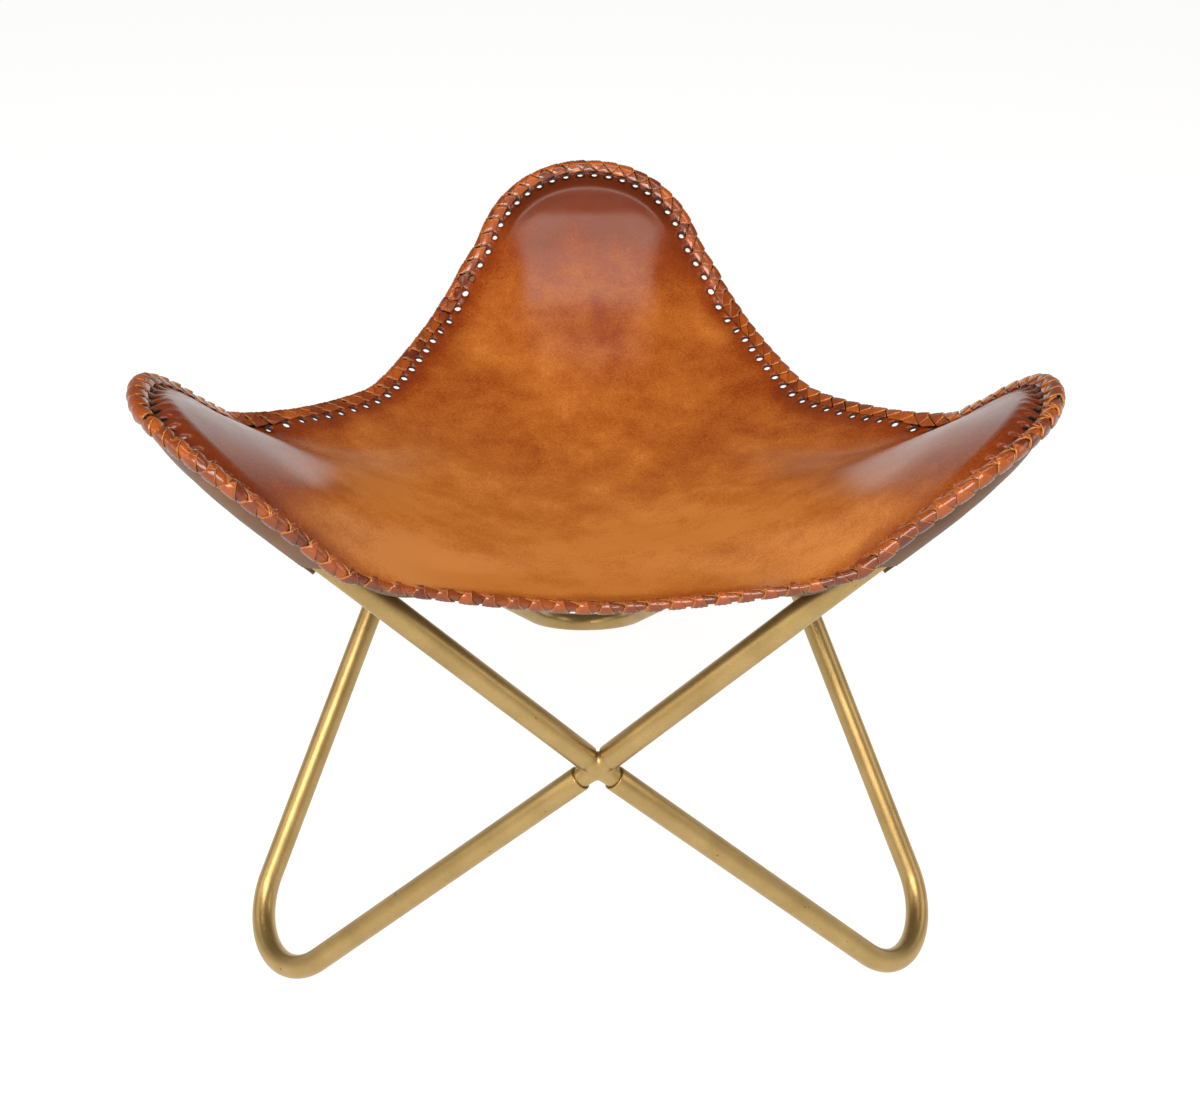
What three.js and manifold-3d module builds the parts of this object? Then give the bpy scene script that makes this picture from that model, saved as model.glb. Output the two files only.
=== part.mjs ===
// A low three-cornered butterfly sling seat: three bent upper tubes and three bent foot tubes
// push onto three welded cross joints, and a leather sling hangs by pockets from the upper bends.
// Millimetres, +Z up. The origin is on the floor, in the middle of the seat's bounding box.

import * as THREE from 'three';
import { mergeVertices } from 'three/addons/utils/BufferGeometryUtils.js';
import loadManifold from 'manifold-3d';

// Tubes
const tubeDiameter = 16;
const tubeWall = 1.2;

// Cross joints, where the bars of one side cross
const crossReach = 169;
const crossHeight = 209.5;
const upperTubeSetback = 9.3;
const lowerTubeSetback = 14.2;
const spigotClearance = 0.3;
const spigotDepth = 42;
const spigotChamfer = 1.5;
const weldWidth = 22;
const weldDepth = 13.6;

// Upper tubes: the bend's axis at its outermost point
const topReach = 267.3;
const topHeight = 421.2;
const topBendRadius = 65.5;

// Foot tubes
const footReach = 262.7;
const footBendRadius = 49.5;
const footFlatDepth = 0.4;

// Sling: reach and height of the leather at the middle of a side, height of the bottom of the bowl,
// and how far out from there it is rounded off
const leatherThickness = 2.4;
const seatHeight = 300;
const sideReach = 181.3;
const sideHeight = 334.6;
const bowlExponent = 1.75;
const flatBottom = 100;

// Pockets: depth along the bend, how far the leather's edge stands outside the tube's axis, and how
// far its upper layer lies above the plane of that axis
const pocketDepth = 82.4;
const tipMargin = 24.4;
const shoulderMargin = 22.8;
const mouthMargin = 28.2;
const seamLift = 4.5;
const pocketSag = 6;
const leatherGap = 0.8;
const seamGap = 0.4;

// Angles round the tube, from outward, at which the leather leaves it on its way to the bowl
const tipLeave = THREE.MathUtils.degToRad(90);
const mouthLeave = THREE.MathUtils.degToRad(84);

// Handles of the curve that carries the leather's edge from a pocket to the middle of a side, the
// share of that curve over which the leather rises off the tube, and the insets of its rails there
const mouthHandle = 19.6;
const sideHandle = 25.7;
const riseShare = 0.4;
const sideInsets = [19, 25, 31];

// Edge lacing
const stitchPitch = 12.6;
const laceReach = 10;
const laceMargin = 1;
const laceHigh = 2.2;
const laceLow = 1.1;
const laceNose = 1.5;
const laceGap = 0.7;

// Facets
const roundSides = 16;
const topBendSteps = 12;
const footBendSteps = 10;
const wingColumns = 7;
const sideStations = [0.1, 0.2, 0.32, 0.48, 0.72, 1];
const bowlRows = [0.8, 0.55, 0.28];
const pocketRows = [0.66, 0.33];

// Columns of leather closer than this many stitches have no lacing stations between them
const longestStitch = 1.4;

const cornerCount = 3;
const halfTurn = Math.PI / cornerCount;
const tubeRadius = tubeDiameter / 2;
const boreRadius = tubeRadius - tubeWall;
const spigotRadius = boreRadius - spigotClearance;
const leatherRadius = tubeRadius + leatherGap + leatherThickness / 2;
const laceInset = laceReach + laceMargin;
const layerStep = leatherThickness + seamGap;

const manifoldLibrary = await loadManifold();
manifoldLibrary.setup();

const goldFinish = () => new THREE.MeshStandardMaterial({
  name: 'gold_powder_coat', color: 0xa8854a, roughness: 0.38, metalness: 0.7,
});
const leatherFinish = () => new THREE.MeshStandardMaterial({
  name: 'tan_leather', color: 0xa85c22, roughness: 0.4, metalness: 0,
});
const undersideFinish = () => new THREE.MeshStandardMaterial({
  name: 'pocket_leather', color: 0x84603f, roughness: 0.6, metalness: 0,
});
const laceFinish = () => new THREE.MeshStandardMaterial({
  name: 'lace_leather', color: 0xb06a2e, roughness: 0.55, metalness: 0,
});

// Joining and cutting

function toSolid(geometry) {
  const bare = geometry.clone();
  bare.deleteAttribute('normal');
  bare.deleteAttribute('uv');
  const merged = mergeVertices(bare, 1e-4);
  return new manifoldLibrary.Manifold(new manifoldLibrary.Mesh({
    numProp: 3,
    vertProperties: Float32Array.from(merged.attributes.position.array),
    triVerts: Uint32Array.from(merged.index.array),
  }));
}

function toGeometry(solid) {
  const mesh = solid.getMesh();
  const geometry = new THREE.BufferGeometry();
  geometry.setAttribute('position', new THREE.BufferAttribute(mesh.vertProperties, 3));
  geometry.setIndex(new THREE.BufferAttribute(mesh.triVerts, 1));
  geometry.computeVertexNormals();
  return geometry;
}

// Bent tubes. In a corner's own frame the corner points along +X and its crosses lie at 60 degrees
// to either side. Each tube is a V in one plane: two straight legs and a round bend.

function bendOf(apexReach, apexHeight, bendRadius) {
  const middle = new THREE.Vector3(crossReach * Math.cos(halfTurn), 0, crossHeight);
  const apex = new THREE.Vector3(apexReach, 0, apexHeight);
  const span = crossReach * Math.sin(halfTurn);
  const outward = apex.clone().sub(middle).normalize();
  const apexDistance = apex.distanceTo(middle);
  // The sharp corner of the two legs lies beyond the apex: solve for its distance from the middle
  const toCenter = apexDistance - bendRadius;
  const slope = bendRadius / span;
  const rest = 1 - slope * slope;
  const cornerDistance = (toCenter + slope * Math.sqrt(toCenter ** 2 + rest * span ** 2)) / rest;
  const halfAngle = Math.atan2(span, cornerDistance);
  return {
    middle, outward, apexDistance, bendRadius, halfAngle,
    across: new THREE.Vector3(0, 1, 0),
    normal: new THREE.Vector3(-outward.z, 0, outward.x),
    center: middle.clone().addScaledVector(outward, toCenter),
    sweep: Math.PI / 2 - halfAngle,
    corner: middle.clone().addScaledVector(outward, cornerDistance),
    legLength: Math.hypot(span, cornerDistance) - bendRadius / Math.tan(halfAngle),
  };
}

const topBend = bendOf(topReach, topHeight, topBendRadius);
const footBend = bendOf(footReach, tubeRadius - footFlatDepth, footBendRadius);

function outwardAt(bend, angle) {
  const direction = bend.outward.clone().multiplyScalar(Math.cos(angle));
  return direction.addScaledVector(bend.across, Math.sin(angle));
}

function legDirection(bend, side) {
  const direction = bend.outward.clone().multiplyScalar(-Math.cos(bend.halfAngle));
  return direction.addScaledVector(bend.across, side * Math.sin(bend.halfAngle));
}

// The point on a tube's axis at an angle round its bend, and then a run down the leg past it
function axisPoint(bend, angle, run) {
  const point = bend.center.clone().addScaledVector(outwardAt(bend, angle), bend.bendRadius);
  return point.addScaledVector(legDirection(bend, Math.sign(angle)), run);
}

// A curve with one step down each straight leg and even steps round the bend
class BentTubePath extends THREE.Curve {
  constructor(bend, setback, bendSteps) {
    super();
    this.bend = bend;
    this.run = bend.legLength - setback;
    this.steps = bendSteps + 2;
  }

  station(t) {
    const place = t * this.steps;
    const along = THREE.MathUtils.clamp((place - 1) / (this.steps - 2), 0, 1);
    const angle = this.bend.sweep * (2 * along - 1);
    const run = this.run * Math.max(1 - place, place - this.steps + 1, 0);
    return { angle, run };
  }

  getPoint(t, target = new THREE.Vector3()) {
    const { angle, run } = this.station(t);
    return target.copy(axisPoint(this.bend, angle, run));
  }

  getTangent(t, target = new THREE.Vector3()) {
    const { angle } = this.station(t);
    target.copy(this.bend.outward).multiplyScalar(-Math.sin(angle));
    return target.addScaledVector(this.bend.across, Math.cos(angle)).normalize();
  }

  getPointAt(t, target) {
    return this.getPoint(t, target);
  }

  getTangentAt(t, target) {
    return this.getTangent(t, target);
  }
}

function bentTubeGeometry(bend, setback, bendSteps) {
  const path = new BentTubePath(bend, setback, bendSteps);
  const section = new THREE.Shape().absarc(0, 0, tubeRadius, 0, 2 * Math.PI);
  section.holes.push(new THREE.Path().absarc(0, 0, boreRadius, 0, 2 * Math.PI, true));
  return new THREE.ExtrudeGeometry(section, {
    steps: path.steps,
    extrudePath: path,
    curveSegments: roundSides / 2,
  });
}

function upperTube() {
  return bentTubeGeometry(topBend, upperTubeSetback, topBendSteps);
}

// The underside of a foot bend is worn to a small flat, level with the floor
function footTube() {
  const floorSize = 2 * footReach;
  const floor = new THREE.BoxGeometry(floorSize, floorSize, tubeDiameter);
  floor.translate(footReach, 0, -tubeDiameter / 2);
  const tube = bentTubeGeometry(footBend, lowerTubeSetback, footBendSteps);
  return toGeometry(toSolid(tube).subtract(toSolid(floor)));
}

// Cross joints. In a side's own frame the side faces +X, and the corners lie at 60 degrees to
// either side of it. Four spigots run from the crossing towards the corners of the four legs.

function spigot(length, direction) {
  const outline = [
    new THREE.Vector2(0, 0),
    new THREE.Vector2(spigotRadius, 0),
    new THREE.Vector2(spigotRadius, length - spigotChamfer),
    new THREE.Vector2(spigotRadius - spigotChamfer, length),
    new THREE.Vector2(0, length),
  ];
  const rod = new THREE.LatheGeometry(outline, roundSides);
  const turn = new THREE.Quaternion().setFromUnitVectors(new THREE.Vector3(0, 1, 0), direction);
  return rod.applyQuaternion(turn);
}

function towardsCorner(bend, side) {
  const reach = bend.corner.x;
  const corner = new THREE.Vector3(
    reach * Math.cos(halfTurn), side * reach * Math.sin(halfTurn), bend.corner.z);
  return corner.sub(new THREE.Vector3(crossReach, 0, crossHeight)).normalize();
}

function crossJoint() {
  const weld = new THREE.SphereGeometry(1, roundSides, roundSides / 2);
  weld.scale(weldDepth / 2, weldWidth / 2, weldWidth / 2);
  let joint = toSolid(weld);
  for (const side of [-1, 1]) {
    const upper = spigot(upperTubeSetback + spigotDepth, towardsCorner(topBend, side));
    const lower = spigot(lowerTubeSetback + spigotDepth, towardsCorner(footBend, side));
    joint = joint.add(toSolid(upper)).add(toSolid(lower));
  }
  return toGeometry(joint).translate(crossReach, 0, crossHeight);
}

// Leather. Half a sling's edge runs from a tip, round the upper bend and down the leg to the
// pocket's mouth, then along a free curve to the middle of a side.

const bowlCenter = new THREE.Vector3(0, 0, seatHeight);
const mouthDistance = topBend.apexDistance - pocketDepth;
const bendLength = topBend.bendRadius * topBend.sweep;
const bendEndDistance = topBend.apexDistance
  - topBend.bendRadius * (1 - Math.cos(topBend.sweep));
const mouthRun = (bendEndDistance - mouthDistance) / Math.cos(topBend.halfAngle);

// The margin outside the tube's axis swings smoothly from tip to shoulder to mouth
function marginAt(along) {
  const phase = Math.PI * along ** 2;
  const level = (tipMargin + mouthMargin + 2 * shoulderMargin) / 4;
  const lean = (tipMargin - mouthMargin) / 2;
  const dip = (tipMargin + mouthMargin - 2 * shoulderMargin) / 4;
  return level + lean * Math.cos(phase) + dip * Math.cos(2 * phase);
}

// Rails of one column of leather in a pocket: the edge, the end of the lacing, up to which the two
// layers lie flat together, and three points on the tube, from where the leather meets it to where
// it leaves it
function pocketRails(along, over) {
  const length = along * (bendLength + mouthRun);
  const angle = Math.min(length / topBend.bendRadius, topBend.sweep);
  const axis = axisPoint(topBend, angle, Math.max(length - bendLength, 0));
  const outward = outwardAt(topBend, angle);
  const margin = marginAt(along);
  const height = over > 0 ? seamLift : layerStep - seamLift;
  const seamEnd = margin - laceInset;
  const touch = Math.atan2(height, seamEnd)
    + Math.acos(leatherRadius / Math.hypot(seamEnd, height));
  const leave = THREE.MathUtils.lerp(tipLeave, mouthLeave, along);
  const onTube = (turn) => axis.clone()
    .addScaledVector(outward, leatherRadius * Math.cos(turn))
    .addScaledVector(topBend.normal, over * leatherRadius * Math.sin(turn));
  const inSeam = (distance) => axis.clone()
    .addScaledVector(outward, distance).addScaledVector(topBend.normal, over * height);
  return [
    inSeam(margin), inSeam(seamEnd), onTube(touch), onTube((touch + leave) / 2), onTube(leave),
  ];
}

// A point on the spoke from an edge point to the bottom of the bowl
function spokePoint(start, share) {
  const point = bowlCenter.clone().lerp(start, share);
  const toMiddle = Math.min(Math.hypot(point.x, point.y) / flatBottom, 1);
  const rise = (start.z - seatHeight) * share ** bowlExponent;
  point.z = seatHeight + rise * toMiddle * (2 - toMiddle);
  return point;
}

const pocketMouth = pocketRails(1, 1)[0];
const sideMiddle = new THREE.Vector3(
  sideReach * Math.cos(halfTurn), sideReach * Math.sin(halfTurn), sideHeight);
const alongSide = new THREE.Vector3(-Math.sin(halfTurn), Math.cos(halfTurn), 0);
const freeEdge = new THREE.CubicBezierCurve3(
  pocketMouth,
  pocketMouth.clone().addScaledVector(legDirection(topBend, 1), mouthHandle),
  sideMiddle.clone().addScaledVector(alongSide, -sideHandle),
  sideMiddle,
);

// Lifts a point of leather that would sink into the tube's leg until it lies over it
function overTube(point) {
  const fromBend = point.clone().sub(axisPoint(topBend, topBend.sweep, 0));
  const height = fromBend.dot(topBend.normal);
  const aside = fromBend.dot(outwardAt(topBend, topBend.sweep));
  const needed = Math.sqrt(Math.max(leatherRadius ** 2 - aside ** 2, 0));
  const lift = Math.abs(aside) < leatherRadius ? Math.max(needed - height, 0) : 0;
  return point.addScaledVector(topBend.normal, lift);
}

// Past the mouth the leather still rides on the leg, and then rises off it into the bowl's rim
function sideRails(along) {
  const edge = freeEdge.getPointAt(along);
  const reach = Math.hypot(edge.x, edge.y);
  const rise = THREE.MathUtils.smoothstep(along, 0, riseShare);
  const run = freeEdge.getLength() * along;
  const riding = pocketRails(1, 1).map((point) => point.addScaledVector(legDirection(topBend, 1), run));
  const [laceEnd, ...inner] = [laceInset, ...sideInsets].map((inset, i) => {
    const onRim = spokePoint(edge, 1 - inset / reach);
    return overTube(riding[i + 1].lerp(onRim, rise));
  });
  laceEnd.sub(edge).setLength(laceInset).add(edge);
  return [edge, laceEnd, ...inner];
}

// Columns of the half sling, from the tip to the middle of a side
const halfColumns = [];
for (let i = 0; i <= wingColumns; i += 1) {
  halfColumns.push({
    upper: pocketRails(i / wingColumns, 1),
    lower: pocketRails(i / wingColumns, -1),
  });
}
for (const along of sideStations) {
  halfColumns.push({ upper: sideRails(along) });
}

const mirrored = (point) => new THREE.Vector3(point.x, -point.y, point.z);
const turned = (point, turn) => point.clone().applyAxisAngle(new THREE.Vector3(0, 0, 1), turn);

function mapColumn(column, change) {
  return {
    upper: column.upper.map(change),
    lower: column.lower ? column.lower.map(change) : undefined,
  };
}

// One corner's columns, from the middle of one side over the tip to the middle of the next
const cornerColumns = [
  ...halfColumns.slice(1).reverse().map((column) => mapColumn(column, mirrored)),
  ...halfColumns,
];

// Normals of a grid of points, from its neighbours along and across
function gridNormals(grid, closed) {
  const count = grid.length;
  const across = grid[0].length;
  const at = (i) => (closed ? (i + count) % count : THREE.MathUtils.clamp(i, 0, count - 1));
  return grid.map((column, i) => column.map((point, j) => {
    const along = grid[at(i + 1)][j].clone().sub(grid[at(i - 1)][j]);
    const inward = column[Math.min(j + 1, across - 1)].clone().sub(column[Math.max(j - 1, 0)]);
    return along.cross(inward).normalize();
  }));
}

// A closed sheet of leather from columns of points that all run in to one pole. An open fan has
// its pole on its rim; a closed one has it in the middle.
function leatherSheet(grid, pole, poleNormal, closed) {
  const normals = gridNormals(grid, closed);
  const columns = grid.length;
  const rows = grid[0].length;
  const layer = columns * rows + 1;
  const positions = [];
  for (const side of [1, -1]) {
    const offset = side * leatherThickness / 2;
    grid.forEach((column, i) => column.forEach((point, j) => {
      positions.push(...point.clone().addScaledVector(normals[i][j], offset));
    }));
    positions.push(...pole.clone().addScaledVector(poleNormal, offset));
  }
  const index = [];
  const vertex = (i, j) => (j < rows ? (i % columns) * rows + j : layer - 1);
  const face = (a, b, c) => {
    index.push(a, b, c, layer + a, layer + c, layer + b);
  };
  const wall = (a, b) => {
    index.push(b, a, layer + a, b, layer + a, layer + b);
  };
  const strips = closed ? columns : columns - 1;
  for (let i = 0; i < strips; i += 1) {
    for (let j = 0; j < rows - 1; j += 1) {
      face(vertex(i, j), vertex(i + 1, j), vertex(i, j + 1));
      face(vertex(i + 1, j), vertex(i + 1, j + 1), vertex(i, j + 1));
    }
    face(vertex(i, rows - 1), vertex(i + 1, rows - 1), vertex(i, rows));
    wall(vertex(i, 0), vertex(i + 1, 0));
  }
  if (!closed) {
    for (let j = 0; j < rows; j += 1) {
      wall(vertex(0, j + 1), vertex(0, j));
      wall(vertex(columns - 1, j), vertex(columns - 1, j + 1));
    }
  }
  const geometry = new THREE.BufferGeometry();
  geometry.setAttribute('position', new THREE.Float32BufferAttribute(positions, 3));
  geometry.setIndex(index);
  geometry.computeVertexNormals();
  return geometry;
}

// The whole loop of columns round the seat, turned to its corners
const cornerNames = ['back', 'left', 'right'];
const cornerTurns = cornerNames.map((name, corner) => Math.PI / 2 + corner * 2 * halfTurn);
const loopColumns = cornerTurns.flatMap((turn) => cornerColumns.slice(1)
  .map((column) => mapColumn(column, (point) => turned(point, turn))));

function slingSeat() {
  const grid = loopColumns.map(({ upper }) => [
    ...upper,
    ...bowlRows.map((share) => spokePoint(upper.at(-1), share)),
  ]);
  return leatherSheet(grid, bowlCenter, new THREE.Vector3(0, 0, 1), true);
}

// A pocket is the under half of a corner: it wraps the bend from below and ends at its mouth
function pocket() {
  const mouth = topBend.middle.clone()
    .addScaledVector(topBend.outward, mouthDistance)
    .addScaledVector(topBend.normal, -pocketSag);
  const grid = cornerColumns.filter((column) => column.lower).reverse().map(({ lower }) => [
    ...lower,
    ...pocketRows.map((share) => mouth.clone().lerp(lower.at(-1), share)),
  ]);
  return leatherSheet(grid, mouth, topBend.normal.clone().negate(), false);
}

// Edge lacing: a strip laced round the leather's edge, thick and thin by turns, in three runs

function laceFrame(column, columnBefore, columnAfter) {
  const run = columnAfter.upper[0].clone().sub(columnBefore.upper[0]);
  const inUpper = column.upper[1].clone().sub(column.upper[0]).normalize();
  const lower = column.lower ?? column.upper;
  const inLower = lower[1].clone().sub(lower[0]).normalize();
  const upNormal = run.clone().cross(inUpper).normalize();
  const downNormal = run.clone().cross(inLower).normalize().negate();
  return [column.upper[0], lower[0], inUpper, inLower, upNormal, downNormal];
}

const loopFrames = loopColumns.map((column, i) => laceFrame(
  column,
  loopColumns.at(i - 1),
  loopColumns[(i + 1) % loopColumns.length],
));

function laceSection([upEdge, downEdge, inUpper, inLower, upNormal, downNormal], thick) {
  const inner = leatherThickness / 2 + laceGap;
  const top = inner + (thick ? laceHigh : laceLow);
  const bottom = inner + (thick ? laceLow : laceHigh);
  const place = (edge, inward, inset, normal, height) => edge.clone()
    .addScaledVector(inward, inset).addScaledVector(normal, height);
  const nose = upEdge.clone().lerp(downEdge, 0.5);
  const out = inUpper.clone().add(inLower).normalize();
  return [
    place(upEdge, inUpper, laceReach, upNormal, inner),
    place(upEdge, inUpper, -laceGap, upNormal, inner),
    place(downEdge, inLower, -laceGap, downNormal, inner),
    place(downEdge, inLower, laceReach, downNormal, inner),
    place(downEdge, inLower, laceReach, downNormal, bottom),
    place(downEdge, inLower, -laceGap, downNormal, bottom),
    nose.addScaledVector(out, -(laceGap + laceHigh + laceNose)),
    place(upEdge, inUpper, -laceGap, upNormal, top),
    place(upEdge, inUpper, laceReach, upNormal, top),
  ];
}

// Stations every half stitch between two tips, on straight lines between the leather's columns
function laceStations(firstColumn) {
  const columnCount = loopFrames.length / cornerCount;
  const stations = [];
  for (let i = 0; i < columnCount; i += 1) {
    const from = loopFrames[(firstColumn + i) % loopFrames.length];
    const to = loopFrames[(firstColumn + i + 1) % loopFrames.length];
    const length = from[0].distanceTo(to[0]);
    const isShort = length < longestStitch * stitchPitch;
    const parts = isShort ? 1 : Math.round(length / (stitchPitch / 2));
    const trim = seamGap / 2 / length;
    for (let k = 0; k <= parts; k += 1) {
      const lastOfRun = i === columnCount - 1 && k === parts;
      if (k < parts || lastOfRun) {
        const share = THREE.MathUtils.clamp(k / parts, i === 0 ? trim : 0, lastOfRun ? 1 - trim : 1);
        stations.push(from.map((value, n) => value.clone().lerp(to[n], share)));
      }
    }
  }
  return stations;
}

function edgeLacing(firstColumn) {
  const rings = laceStations(firstColumn).map((frame, i) => laceSection(frame, i % 2 === 0));
  const points = rings[0].length;
  const index = [];
  for (let i = 0; i < rings.length - 1; i += 1) {
    for (let j = 0; j < points; j += 1) {
      const a = i * points + j;
      const b = i * points + (j + 1) % points;
      const c = a + points;
      const d = b + points;
      // The diagonals follow those of the leather inside
      index.push(...(j < 2 ? [a, c, d, a, d, b] : [a, c, b, b, c, d]));
    }
  }
  const last = (rings.length - 1) * points;
  const endFaces = [[0, 1, 7], [0, 7, 8], [1, 2, 6], [1, 6, 7], [2, 5, 6], [2, 3, 5], [3, 4, 5]];
  for (const [a, b, c] of endFaces) {
    index.push(a, b, c, last + a, last + c, last + b);
  }
  const geometry = new THREE.BufferGeometry();
  geometry.setAttribute('position', new THREE.Float32BufferAttribute(
    rings.flat().flatMap((point) => [...point]), 3));
  geometry.setIndex(index);
  geometry.computeVertexNormals();
  return geometry;
}

// Assembly

const stool = new THREE.Group();

function addMesh(name, geometry, material, parent) {
  const mesh = new THREE.Mesh(geometry, material);
  mesh.name = name;
  parent.add(mesh);
}

cornerNames.forEach((name, i) => {
  const corner = new THREE.Group();
  corner.rotation.z = cornerTurns[i];
  stool.add(corner);
  addMesh(`upper_tube_${name}`, upperTube(), goldFinish(), corner);
  addMesh(`foot_tube_${name}`, footTube(), goldFinish(), corner);
  addMesh(`pocket_${name}`, pocket(), undersideFinish(), corner);
});

const sideNames = ['left', 'front', 'right'];
const columnsPerSide = loopColumns.length / cornerCount;
const tipColumn = halfColumns.length - 2;
sideNames.forEach((name, i) => {
  const side = new THREE.Group();
  side.rotation.z = cornerTurns[i] + halfTurn;
  stool.add(side);
  addMesh(`cross_joint_${name}`, crossJoint(), goldFinish(), side);
  const lacing = edgeLacing(tipColumn + i * columnsPerSide);
  addMesh(`edge_lacing_${name}`, lacing, laceFinish(), stool);
});

addMesh('sling_seat', slingSeat(), leatherFinish(), stool);

// The three corners make the plan lopsided about its axis: centre the bounding box on the origin
const bounds = new THREE.Box3().setFromObject(stool, true);
stool.position.y = -(bounds.min.y + bounds.max.y) / 2;
stool.position.x = -(bounds.min.x + bounds.max.x) / 2;

export default stool;
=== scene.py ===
import math

import bmesh
import bpy
import numpy as np
from mathutils import Matrix


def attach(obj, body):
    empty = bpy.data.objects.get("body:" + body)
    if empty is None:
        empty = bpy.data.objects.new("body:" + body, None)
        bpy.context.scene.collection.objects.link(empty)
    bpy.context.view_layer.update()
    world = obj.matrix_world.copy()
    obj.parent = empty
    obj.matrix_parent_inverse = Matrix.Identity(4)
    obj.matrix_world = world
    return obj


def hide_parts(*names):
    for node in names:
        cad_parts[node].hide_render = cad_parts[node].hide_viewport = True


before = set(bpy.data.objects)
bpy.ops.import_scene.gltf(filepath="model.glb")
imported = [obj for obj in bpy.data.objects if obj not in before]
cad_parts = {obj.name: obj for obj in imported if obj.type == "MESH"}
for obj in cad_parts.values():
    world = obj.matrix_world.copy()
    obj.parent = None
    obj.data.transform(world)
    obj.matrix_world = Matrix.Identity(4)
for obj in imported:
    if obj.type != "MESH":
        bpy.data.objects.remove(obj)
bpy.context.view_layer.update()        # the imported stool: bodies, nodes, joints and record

scene = bpy.context.scene
randomDraw = np.random.default_rng(27)

cornerTurns = {"back": math.radians(90), "left": math.radians(210), "right": math.radians(330)}
sideTurns = {"left": math.radians(150), "front": math.radians(270), "right": math.radians(30)}


def nodePoints(name):
    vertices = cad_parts[name].data.vertices
    flat = np.empty(3 * len(vertices), np.float32)
    vertices.foreach_get("co", flat)
    return flat.reshape(-1, 3).astype(float)


# The three crosses are turned copies of one another, so their mean lies on the stool's own axis
stoolAxis = np.mean([nodePoints(f"cross_joint_{side}").mean(0) for side in sideTurns], axis=0)[:2]


def place(points, turn):
    # turns points from a corner's or a side's own frame about the stool's axis
    x = points[..., 0] * math.cos(turn) - points[..., 1] * math.sin(turn) + stoolAxis[0]
    y = points[..., 0] * math.sin(turn) + points[..., 1] * math.cos(turn) + stoolAxis[1]
    return np.stack([x, y, points[..., 2]], -1)


def unit(vectors):
    return vectors / np.linalg.norm(vectors, axis=-1, keepdims=True)


def smoothStep(low, high, value):
    # 0 up to low, 1 from high on, and a smooth S between them
    share = np.clip((value - low) / (high - low), 0, 1)
    return share * share * (3 - 2 * share)


def gridFaces(rows, columns, wrapRows=False, wrapColumns=False):
    # quads of a grid of points stored row by row
    row = np.arange(rows if wrapRows else rows - 1)[:, None]
    column = np.arange(columns if wrapColumns else columns - 1)[None, :]
    nextRow = (row + 1) % rows
    nextColumn = (column + 1) % columns
    corners = [
        row * columns + column,
        row * columns + nextColumn,
        nextRow * columns + nextColumn,
        nextRow * columns + column,
    ]
    return np.stack(np.broadcast_arrays(*corners), -1).reshape(-1, 4)


def makePiece(name, points, faces, finishes, replaced, attributes=None, mergeWithin=0.0):
    # every piece has its place in its mesh, rides on the one body and stands in for what it replaces
    mesh = bpy.data.meshes.new(name)
    mesh.from_pydata(points.reshape(-1, 3).tolist(), [], [list(map(int, face)) for face in faces])
    for key, values in (attributes or {}).items():
        layer = mesh.attributes.new(key, "FLOAT", "POINT")
        layer.data.foreach_set("value", np.asarray(values, np.float32).ravel())
    if mergeWithin:
        tidy = bmesh.new()
        tidy.from_mesh(mesh)
        bmesh.ops.remove_doubles(tidy, verts=tidy.verts, dist=mergeWithin)
        bmesh.ops.recalc_face_normals(tidy, faces=tidy.faces)
        tidy.to_mesh(mesh)
        tidy.free()
    mesh.polygons.foreach_set("use_smooth", np.ones(len(mesh.polygons), bool))
    mesh.update()
    for finish in finishes:
        mesh.materials.append(finish)
    piece = bpy.data.objects.new(name, mesh)
    scene.collection.objects.link(piece)
    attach(piece, "root")
    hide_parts(*replaced)
    return piece


def facingMatrix(right, back, spot):
    # a camera's or a lamp's place and turn from the ways to its right and its back
    matrix = np.eye(4)
    matrix[:3] = np.column_stack([right, np.cross(back, right), back, spot])
    return Matrix(matrix.tolist())


# Camera at the photograph's place, in the stool's axis frame

cameraSizes = {
    "place": (-0.0204, -0.7936, 0.7645),
    "turn": math.radians(1.8325),
    "tilt": math.radians(33.0103),
    "roll": math.radians(0.8638),
    "nearest": 0.01,
    "sensor": 36.0,
    "focalPixels": 1363.0,
    "imageWidth": 1200.0,
}


def makeCamera():
    # it looks along +Y, turned a little to the right, tilted down and rolled about its own line of sight
    lens = bpy.data.cameras.new("photo_camera")
    lens.sensor_fit = "HORIZONTAL"
    lens.sensor_width = cameraSizes["sensor"]
    lens.lens = cameraSizes["sensor"] * cameraSizes["focalPixels"] / cameraSizes["imageWidth"]
    lens.clip_start = cameraSizes["nearest"]
    camera = bpy.data.objects.new("photo_camera", lens)
    scene.collection.objects.link(camera)
    turn, tilt, roll = (cameraSizes[key] for key in ("turn", "tilt", "roll"))
    ahead = np.array([math.sin(turn) * math.cos(tilt), math.cos(turn) * math.cos(tilt), -math.sin(tilt)])
    level = np.array([math.cos(turn), -math.sin(turn), 0.0])
    raised = np.cross(level, ahead)
    right = math.cos(roll) * level + math.sin(roll) * raised
    spot = np.array(cameraSizes["place"]) + np.append(stoolAxis, 0)
    camera.matrix_world = facingMatrix(right, -ahead, spot)
    scene.camera = camera


makeCamera()
print("camera placed")


# Finishes

def setInputs(tree, node, inputs):
    # links what another node gives out, and sets a plain value on the socket itself
    for key, value in inputs.items():
        if isinstance(value, bpy.types.NodeSocket):
            tree.links.new(value, node.inputs[key])
        else:
            node.inputs[key].default_value = value


def newFinish(name, sockets):
    finish = bpy.data.materials.new(name)
    finish.use_nodes = True
    tree = finish.node_tree
    shader = tree.nodes["Principled BSDF"]
    setInputs(tree, shader, sockets)
    return finish, tree, shader


def addNode(tree, kind, settings=None, inputs=None):
    node = tree.nodes.new(kind)
    for key, value in (settings or {}).items():
        setattr(node, key, value)
    setInputs(tree, node, inputs or {})
    return node


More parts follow.
